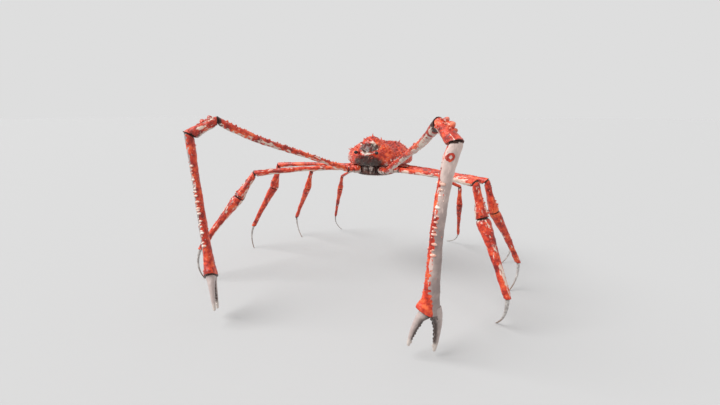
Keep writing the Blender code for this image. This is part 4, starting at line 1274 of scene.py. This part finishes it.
def palm_marks(limb, side):
    """The palm's inner face is pale grey, with its upper edge and its wrist end red."""
    turn = math.radians(PALM_PALE_TURN[side])
    plain = limb_marks(limb, turn, PALM_PALE_COVER[side], 0.10, sharp=0.70, tongues=0.20, mouth=False)

    def marks(local, facing):
        made = plain(local, facing)
        share = local[:, 2] / limb.length
        middle = np.array([limb.bowed(s) for s in share])
        x = local[:, 0] - middle[:, 0]
        near_end = np.clip((share - 0.86) / 0.10, 0, 1)
        inner_edge = np.clip(x / 0.030, -1, 1)
        made[:, 0] -= 0.85 * near_end * np.clip(inner_edge + 0.45, 0, 1)
        made[:, 0] += 0.55 * np.clip((0.30 - share) / 0.14, 0, 1) * PALM_WRIST_PALE[side]
        made[:, 0] -= 0.22 * np.clip((share - 0.62) / 0.20, 0, 1) * (side == "right")
        spot = np.hypot(x - 0.006, local[:, 2] - 0.042)
        ring = np.exp(-(((spot - 0.0100) / 0.0038) ** 2))
        spotted = ring * (facing[:, 1] * (-1 if side == "left" else 1) > 0)
        made[:, 0] -= 1.8 * spotted
        made[:, 1] -= 1.1 * spotted
        # Painted light: towards the wrist the left palm's pale face turns creamier, with more flecks, so it
        # is lighter at its top.
        made[:, 1] += 0.9 * np.clip((0.55 - share) / 0.45, 0, 1) * PALM_WRIST_PALE[side]
        towards = facing[:, :2] @ np.array((math.cos(turn), math.sin(turn)))
        edge = np.exp(-(((towards - PALM_PALE_COVER[side] + 0.12) / 0.20) ** 2))
        made[:, 1] += 1.3 * edge * np.exp(-(((share - 0.68) / 0.050) ** 2)) * PALM_WRIST_PALE[side]
        made[:, 2] = np.maximum(made[:, 2], 0.45 * (share > 0.99))
        return made

    return marks


def finger_rings(limb, swell=0.0, swell_end=0.0):
    """A finger's rings, narrowing to a blunt point, with a swelling to one side at its root."""
    rings = []
    for share, width in limb.profile:
        x, y = limb.bowed(share)
        if swell:
            x += swell * np.clip((swell_end - share) / 0.12, 0, 1)
        half = width / 2 / DRAWN_IN
        rings.append((share * limb.length, half, half * limb.flatness, x, y))
    rings.insert(0, (rings[0][0], rings[0][1] * 0.7, rings[0][2] * 0.7, 0, 0))
    tip = rings[-1]
    rings.append((tip[0] + 0.0015, tip[1] * 0.5, tip[2] * 0.5, tip[3], tip[4]))
    return rings


def finger_teeth(finger, limb, turn, seed):
    """Blunt biting teeth along the finger's edge, large and small by turns."""
    draw = random.Random(seed)
    stands = []
    for k in range(8):
        share = 0.30 + 0.58 * k / 7 + draw.uniform(-0.012, 0.012)
        size = (0.0066 if k % 3 == 1 else 0.0052) * (1.2 - 0.5 * share) * draw.uniform(0.85, 1.15)
        stands.append((share, turn + draw.uniform(-0.15, 0.15), size * 0.38, size, 0.0))
    add_knobs(finger, limb, KNOB_MODEL, stands)


def finger_marks(limb, edge_turn, pale):
    aim = np.array((math.cos(edge_turn), math.sin(edge_turn)))

    def marks(local, facing):
        towards = facing[:, :2] @ aim
        share = local[:, 2] / limb.length
        edge = 0.5 + 0.5 * towards - 0.22 * pale
        outer = np.maximum(pale, 0.85 * np.clip((0.10 - towards) / 0.70, 0, 1))
        return np.stack([edge, np.clip((share - 0.68) / 0.26, 0, 1), outer], axis=1)

    return marks


def build_claw(side):
    joints, ways = joints_of("claw", side)
    before = COXA_WAYS[("claw", side)]
    shapes = (("merus", CLAW_MERUS_PROFILE, CLAW_MERUS_SAG), ("carpus", CLAW_CARPUS_PROFILE, 0.0))
    for k, (name, profile, sag) in enumerate(shapes):
        across, up = limb_frame(side, *POSE[("claw", side)][k])
        limb = Limb(
            joints[k], joints[k + 1], across, up, profile, LEG_FLATNESS,
            half_way(before, ways[k]), half_way(ways[k], ways[k + 1]),
            bow=(0.0, sag), bow_place=CLAW_MERUS_SAG_PLACE, end_inside=inside_bend(ways[k], ways[k + 1]),
        )
        if k:
            limb.start_inside = inside_bend(before, ways[k])
        piece = cast_limb(f"claw_{side}_{name}_shell", limb, lumps=0.0034)
        if name == "merus":
            stands = scatter(f"claw {side} merus", 54, lambda share: 0.0030, low=0.05)
            draw = random.Random(5)
            rows = [(0.06 + 0.88 * k / 15, draw.uniform(1.1, 2.0), 0.0048, 0.0050, 0.3) for k in range(16)]
            add_knobs(piece, limb, KNOB_MODEL, stands)
            add_knobs(piece, limb, KNOB_MODEL, rows)
            collar = MERUS_COLLAR[side]
            marks = limb_marks(limb, -math.pi / 2, MERUS_PALE, 0.52, tongues=0.26, collar=collar)
        else:
            large = [(share, math.radians(turn), half * 1.25, half, 0) for share, turn, half in CARPUS_KNOBS]
            stands = scatter(f"claw {side} carpus", 26, lambda share: 0.0032, high=0.62, spread=2.6)
            add_knobs(piece, limb, KNOB_MODEL, large + stands)
            marks = limb_marks(limb, -math.pi / 2, 0.72, 0.50)
        mark(piece, limb.place, marks)
        hand_over(piece, "red_shell", RED_FINISH, f"claw_{side}_{name}")
        before = ways[k]
    build_palm(side, joints, before, ways[2])
    build_skins("claw", side, joints[:3], [COXA_WAYS[("claw", side)], *ways], [0.028, 0.040, 0.053])


def build_palm(side, joints, before, way):
    spread = math.radians(CLAW_SPREAD[side])
    level = Vector((math.cos(spread), math.sin(spread), 0))
    towards = (level - way * level.dot(way)).normalized()
    thick = way.cross(towards)
    end_cut = way * math.cos(PALM_END_SLANT) + towards * math.sin(PALM_END_SLANT)
    limb = Limb(
        joints[2], joints[3], towards, thick, PALM_PROFILE, PALM_FLATNESS,
        half_way(before, way), end_cut, bow=(PALM_BOW[side], 0.0), bow_place=PALM_BOW_PLACE,
    )
    palm = cast_limb(f"claw_{side}_palm_shell", limb, mouth=False, lumps=0.0024)
    fixed_way = way * math.cos(FIXED_OPENING) - towards * math.sin(FIXED_OPENING)
    fixed_root = limb.end - towards * FIXED_OFFSET - fixed_way * FIXED_ROOT
    fixed_end = fixed_root + fixed_way * (FINGER_LENGTH + FIXED_ROOT)
    fixed = Limb(
        fixed_root, fixed_end, fixed_way.cross(thick).normalized() * -1, thick,
        FIXED_PROFILE, FINGER_FLATNESS, fixed_way, fixed_way, bow=(-FINGER_BOW, 0.0),
    )
    finger = draw_out(f"claw_{side}_fixed_finger", finger_rings(fixed, ROOT_SWELL, 0.36), TUBE_SIDES)
    set_in_place(finger, fixed.place)
    smooth_out(finger, 3)
    roughen(finger, 0.0016, 0.0006)
    finger_teeth(finger, fixed, 0.0, f"fixed {side}")
    mark(finger, fixed.place, finger_marks(fixed, 0.0, FINGER_PALE[side]))
    hand_over(finger, "claw_finger", FINGER_FINISH)
    swell_knuckle(palm, limb)
    stands = scatter(f"palm {side}", 44, lambda share: 0.0024, low=0.04, high=0.95, spread=2.4, centre=0.0)
    add_knobs(palm, limb, KNOB_MODEL, stands)
    mark(palm, limb.place, palm_marks(limb, side))
    hand_over(palm, "red_shell", PALM_FINISH, f"claw_{side}_palm")
    build_nodules(side, palm, limb)
    build_moving_finger(side, limb, way, towards, thick, end_cut)


def swell_knuckle(palm, limb):
    """Swells the palm's end over the moving finger's hinge."""
    points, _ = corners_of(palm)
    local = (points - np.array(limb.start)) @ np.array(limb.place.to_3x3())
    share = local[:, 2] / limb.length
    beside = np.clip(local[:, 0] / 0.030, 0, 1)
    swell = KNUCKLE_SWELL * np.exp(-(((share - 0.962) / 0.032) ** 2)) * beside
    sideways = (limb.across - limb.end_cut * limb.across.dot(limb.end_cut)).normalized()
    move_corners(palm, points + np.outer(swell, np.array(sideways)))


def build_nodules(side, palm, limb):
    """Rows of white blunt nodules along the palm's upper edge."""
    draw = random.Random(11)
    copies = []
    for turn, count, half, stretch in NODULE_ROWS[side]:
        places = []
        for k in range(count):
            share = NODULE_START + NODULE_REACH[side] * (k + draw.uniform(-0.25, 0.25)) / count
            turned = math.radians(turn) + draw.uniform(-0.12, 0.12)
            spot, facing = limb.spot(palm, share, turned)
            size = half * draw.uniform(0.50, 1.15)
            if draw.random() > 0.16:
                places.append((spot - facing * size * 0.30, facing, size * 1.05, size, 0))
        copies += stand_copies(KNOB_MODEL, places, along=limb.axis, stretch=stretch)
    nodules = copies[0]
    nodules.name = f"claw_{side}_nodules"
    join_all(nodules, copies[1:])
    choose(nodules)
    bpy.ops.object.transform_apply(location=True, rotation=True, scale=True)
    mark(nodules, limb.place, lambda local, facing: np.stack([
        np.full(len(local), 0.5), np.full(len(local), 0.5), np.zeros(len(local)),
    ], axis=1))
    hand_over(nodules, "pale_shell", NODULE_FINISH)


def build_moving_finger(side, palm, way, towards, thick, end_cut):
    moving_way = way * math.cos(MOVING_OPENING) + towards * math.sin(MOVING_OPENING)
    root = palm.end + towards * MOVING_OFFSET - way * (math.tan(PALM_END_SLANT) * MOVING_OFFSET)
    limb = Limb(
        root, root + moving_way * FINGER_LENGTH, thick.cross(moving_way).normalized(), thick,
        MOVING_PROFILE, FINGER_FLATNESS, end_cut, moving_way, bow=(FINGER_BOW, 0.0),
    )
    finger = draw_out(f"claw_{side}_moving_finger", finger_rings(limb, -ROOT_SWELL, 0.20), TUBE_SIDES)
    lean_ends(finger, limb)
    set_in_place(finger, limb.place)
    smooth_out(finger, 3)
    roughen(finger, 0.0016, 0.0006)
    finger_teeth(finger, limb, math.pi, f"moving {side}")
    mark(finger, limb.place, finger_marks(limb, math.pi, FINGER_PALE[side]))
    hand_over(finger, "claw_finger", FINGER_FINISH, f"claw_{side}_dactylus")


for side in ("left", "right"):
    build_claw(side)


# Face
# Black eyes on short stalks under the brow, a pair of jointed feelers beside the rostrum, and the
# mouth closed by two pairs of plates, all of thin pale and brown shell hinged on the body.

EYE_PLACE = (0.030, 0.034)
EYE_WAY = (0.28, -0.93, 0.12)
EYE_STAND = 0.007
FEELER_PLACE = (0.012, 0.014)
FEELER_WAY = (0.20, -0.95, 0.05)
FEELER_STAND = 0.005
FEELER_LENGTH = 0.110
FACE_DEPTH = -0.095


def eye_finish():
    """The cornea: glossy black, with fine facets."""
    made = bpy.data.materials.new("eye_black")
    made.use_nodes = True
    tree = made.node_tree
    shader = tree.nodes["Principled BSDF"]
    facets = node(tree, "TexVoronoi", {"Vector": object_place(tree), "Scale": 1400.0}).outputs["Distance"]
    colour = blend(tree, between(tree, facets, 0.1, 0.6), (0.004, 0.003, 0.004, 1), (0.020, 0.012, 0.014, 1))
    tree.links.new(colour, shader.inputs["Base Color"])
    bump = node(tree, "Bump", {"Height": facets, "Distance": 0.0002, "Strength": 0.3})
    tree.links.new(bump.outputs["Normal"], shader.inputs["Normal"])
    shader.inputs["Roughness"].default_value = 0.10
    return made


EYE_FINISH = eye_finish()


def face_root(place, way, side, stand):
    """Where an organ leaves the carapace, and the way that it points."""
    out = out_of(side)
    way = Vector((out * way[0], way[1], way[2])).normalized()
    inside = BODY + Vector((out * place[0], FACE_DEPTH, place[1]))
    _, surface, _, _ = CARAPACE.ray_cast(inside, way)
    return surface + way * stand, way


def organ_limb(root, way, length, profile, bow=0.0):
    across = way.cross(Vector((0, 0, 1))).normalized()
    up = across.cross(way)
    return Limb(root, root + way * length, across, up, profile, 1.0, way, way, bow=(0.0, bow))


def flat_marks(pale, flecks, dark):
    """The same marks all over a piece."""
    return lambda local, facing: np.tile((pale, flecks, dark), (len(local), 1)).astype(float)


def build_eye(side):
    root, way = face_root(EYE_PLACE, EYE_WAY, side, EYE_STAND)
    stalk_profile = ((0, 0.017), (0.4, 0.0125), (0.75, 0.011), (1, 0.0125))
    limb = organ_limb(root - way * 0.016, way, 0.032, stalk_profile)
    stalk = draw_out(f"eye_{side}_stalk", finger_rings(limb), TUBE_SIDES)
    set_in_place(stalk, limb.place)
    smooth_out(stalk, 2)
    mark(stalk, limb.place, flat_marks(0.30, 0.5, 0.20))
    hand_over(stalk, "red_shell", RED_FINISH)
    bpy.ops.object.select_all(action="DESELECT")
    bpy.ops.mesh.primitive_uv_sphere_add(segments=40, ring_count=28, radius=1)
    cornea = bpy.context.object
    cornea.name = f"eye_{side}_cornea"
    size = Matrix.Diagonal((0.0092, 0.0088, 0.0120, 1))
    centre = Matrix.Translation(way * 0.0195) @ Matrix.Translation(root)
    set_in_place(cornea, centre @ limb.place.to_3x3().to_4x4() @ size)
    points, _ = corners_of(cornea)
    depth = (points - np.array(root)) @ np.array(way)
    points -= np.outer(np.maximum(0.012 - depth, 0) * -0.5, np.array(way))
    move_corners(cornea, points)
    hand_over(cornea, "eye", EYE_FINISH, f"eye_{side}")


def build_feeler(side):
    root, way = face_root(FEELER_PLACE, FEELER_WAY, side, FEELER_STAND)
    base_profile = ((0, 0.0105), (0.3, 0.0098), (0.62, 0.0080), (0.68, 0.0060), (0.78, 0.0070), (1, 0.0052))
    base = organ_limb(root - way * 0.012, way, 0.030, base_profile)
    feeler = draw_out(f"antenna_{side}_feeler", finger_rings(base), TUBE_SIDES)
    set_in_place(feeler, base.place)
    smooth_out(feeler, 2)
    lash = organ_limb(root, way, FEELER_LENGTH, ((0, 0.0040), (1, 0.0012)), bow=0.10 * FEELER_LENGTH)
    rings = []
    for k in range(44):
        share = k / 43
        x, y = lash.bowed(share)
        half = (0.0020 - 0.0014 * share) * (1.12 if k % 2 else 0.92)
        rings.append((share * FEELER_LENGTH, half, half, x, y))
    whip = draw_out("whip", rings, 8)
    set_in_place(whip, lash.place)
    smooth_out(whip, 1)
    join_all(feeler, [whip])
    mark(feeler, base.place, flat_marks(0.42, 0.6, 0.10))
    hand_over(feeler, "pale_shell", PALE_FINISH, f"antenna_{side}")


# The mouth plates' own brown, darkened further as painted shade under the face.
MOUTH_FINISH = shell_finish(
    "mouth_shell", red=(0.20, 0.06, 0.04, 1), deep=(0.10, 0.035, 0.025, 1), orange=(0.30, 0.12, 0.08, 1),
    pale=(0.24, 0.19, 0.17, 1), cream=(0.55, 0.46, 0.41, 1),
)
MOUTH_WIDTH = 0.031


def plate(name, centre, size, turn):
    """A crowned plate with rounded edges, thick in y."""
    bpy.ops.object.select_all(action="DESELECT")
    bpy.ops.mesh.primitive_cube_add(size=1)
    made = bpy.context.object
    made.name = name
    cut_up(made, 3)
    points, _ = corners_of(made)
    crown = (1 - (2 * points[:, 0]) ** 2 * 0.5) * (1 - (2 * points[:, 2]) ** 2 * 0.35)
    points[:, 1] = np.where(points[:, 1] < 0, points[:, 1] * (0.55 + 0.75 * crown), points[:, 1])
    move_corners(made, points)
    smooth_out(made, 2)
    aim = Matrix.Rotation(turn, 4, "Y") @ Matrix.Diagonal((*size, 1))
    set_in_place(made, Matrix.Translation(BODY + Vector(centre)) @ aim)
    return made


def build_mouth(side):
    out = out_of(side)
    back = -STERNUM_END - 0.0003
    middle = out * (0.0014 + MOUTH_WIDTH * 0.38)
    parts = [
        plate(
            f"maxilliped_{side}_plate", (middle, back - 0.0042, -0.0535), (0.0240, 0.0084, 0.0250),
            out * 0.06,
        ),
        plate("merus_plate", (out * 0.0158, back - 0.0056, -0.0345), (0.0225, 0.0100, 0.0155), out * 0.22),
        plate("palp", (out * 0.0062, back - 0.0095, -0.0420), (0.0058, 0.0052, 0.0200), out * -0.30),
        plate("outer_rod", (out * 0.0298, back - 0.0042, -0.0480), (0.0056, 0.0070, 0.0340), out * 0.14),
    ]
    join_all(parts[0], parts[1:])
    roughen(parts[0], 0.0010, 0.0005)
    # Painted shade: the plates are darker where they turn away from the front, into the gaps behind them.
    mark(parts[0], Matrix.Translation(BODY), lambda local, facing: np.stack([
        np.full(len(local), 0.46), np.full(len(local), 0.50), 0.42 + 0.40 * np.clip(facing[:, 1] + 0.6, 0, 1),
    ], axis=1), squeeze=0.6)
    hand_over(parts[0], "pale_shell", MOUTH_FINISH, f"maxilliped_{side}")


for side in ("left", "right"):
    build_eye(side)
    build_feeler(side)
    build_mouth(side)

for model in (SPINE_MODEL, KNOB_MODEL):
    bpy.data.objects.remove(model)


# Studio
# A plain pale floor that runs flat to the horizon under an even grey sky, one very wide soft light
# from above, and the camera where the photo was taken from.

STUDIO_GREY = (0.470, 0.470, 0.470, 1)
STUDIO_AIR = (0.73, 0.73, 0.73, 1)
KEY_STRENGTH = 3.1
CAMERA_FROM_BODY = Vector((0.7465, -2.1136, 0.8548))
CAMERA_TURN = 21.91
CAMERA_DIP = 12.2
CAMERA_LENS = 21.0


def build_studio():
    bpy.ops.object.select_all(action="DESELECT")
    bpy.ops.mesh.primitive_plane_add(size=120, location=(0, 0, 0))
    floor = bpy.context.object
    floor.name = "studio_floor"
    paint = bpy.data.materials.new("studio_paint")
    paint.use_nodes = True
    shader = paint.node_tree.nodes["Principled BSDF"]
    shader.inputs["Base Color"].default_value = STUDIO_GREY
    shader.inputs["Roughness"].default_value = 0.9
    floor.data.materials.append(paint)
    world = bpy.data.worlds.new("studio")
    world.use_nodes = True
    sky = world.node_tree.nodes["Background"]
    sky.inputs["Color"].default_value = STUDIO_AIR
    bpy.context.scene.world = world
    bpy.context.scene.view_settings.view_transform = "Standard"


def add_key_light():
    """A very wide soft light from above and in front."""
    light = bpy.data.lights.new("key_light", "SUN")
    light.angle = math.radians(44)
    light.energy = KEY_STRENGTH
    made = bpy.data.objects.new("key_light", light)
    made.rotation_euler = Vector((0.62, 0.45, -0.95)).to_track_quat("-Z", "Y").to_euler()
    bpy.context.scene.collection.objects.link(made)


def place_camera():
    camera = bpy.data.cameras.new("photo_camera")
    camera.lens = CAMERA_LENS
    made = bpy.data.objects.new("photo_camera", camera)
    made.location = Vector((BODY.x, BODY.y, 0)) + CAMERA_FROM_BODY
    made.rotation_euler = (math.radians(90 - CAMERA_DIP), 0, math.radians(CAMERA_TURN))
    bpy.context.scene.collection.objects.link(made)
    bpy.context.scene.camera = made


build_studio()
add_key_light()
place_camera()
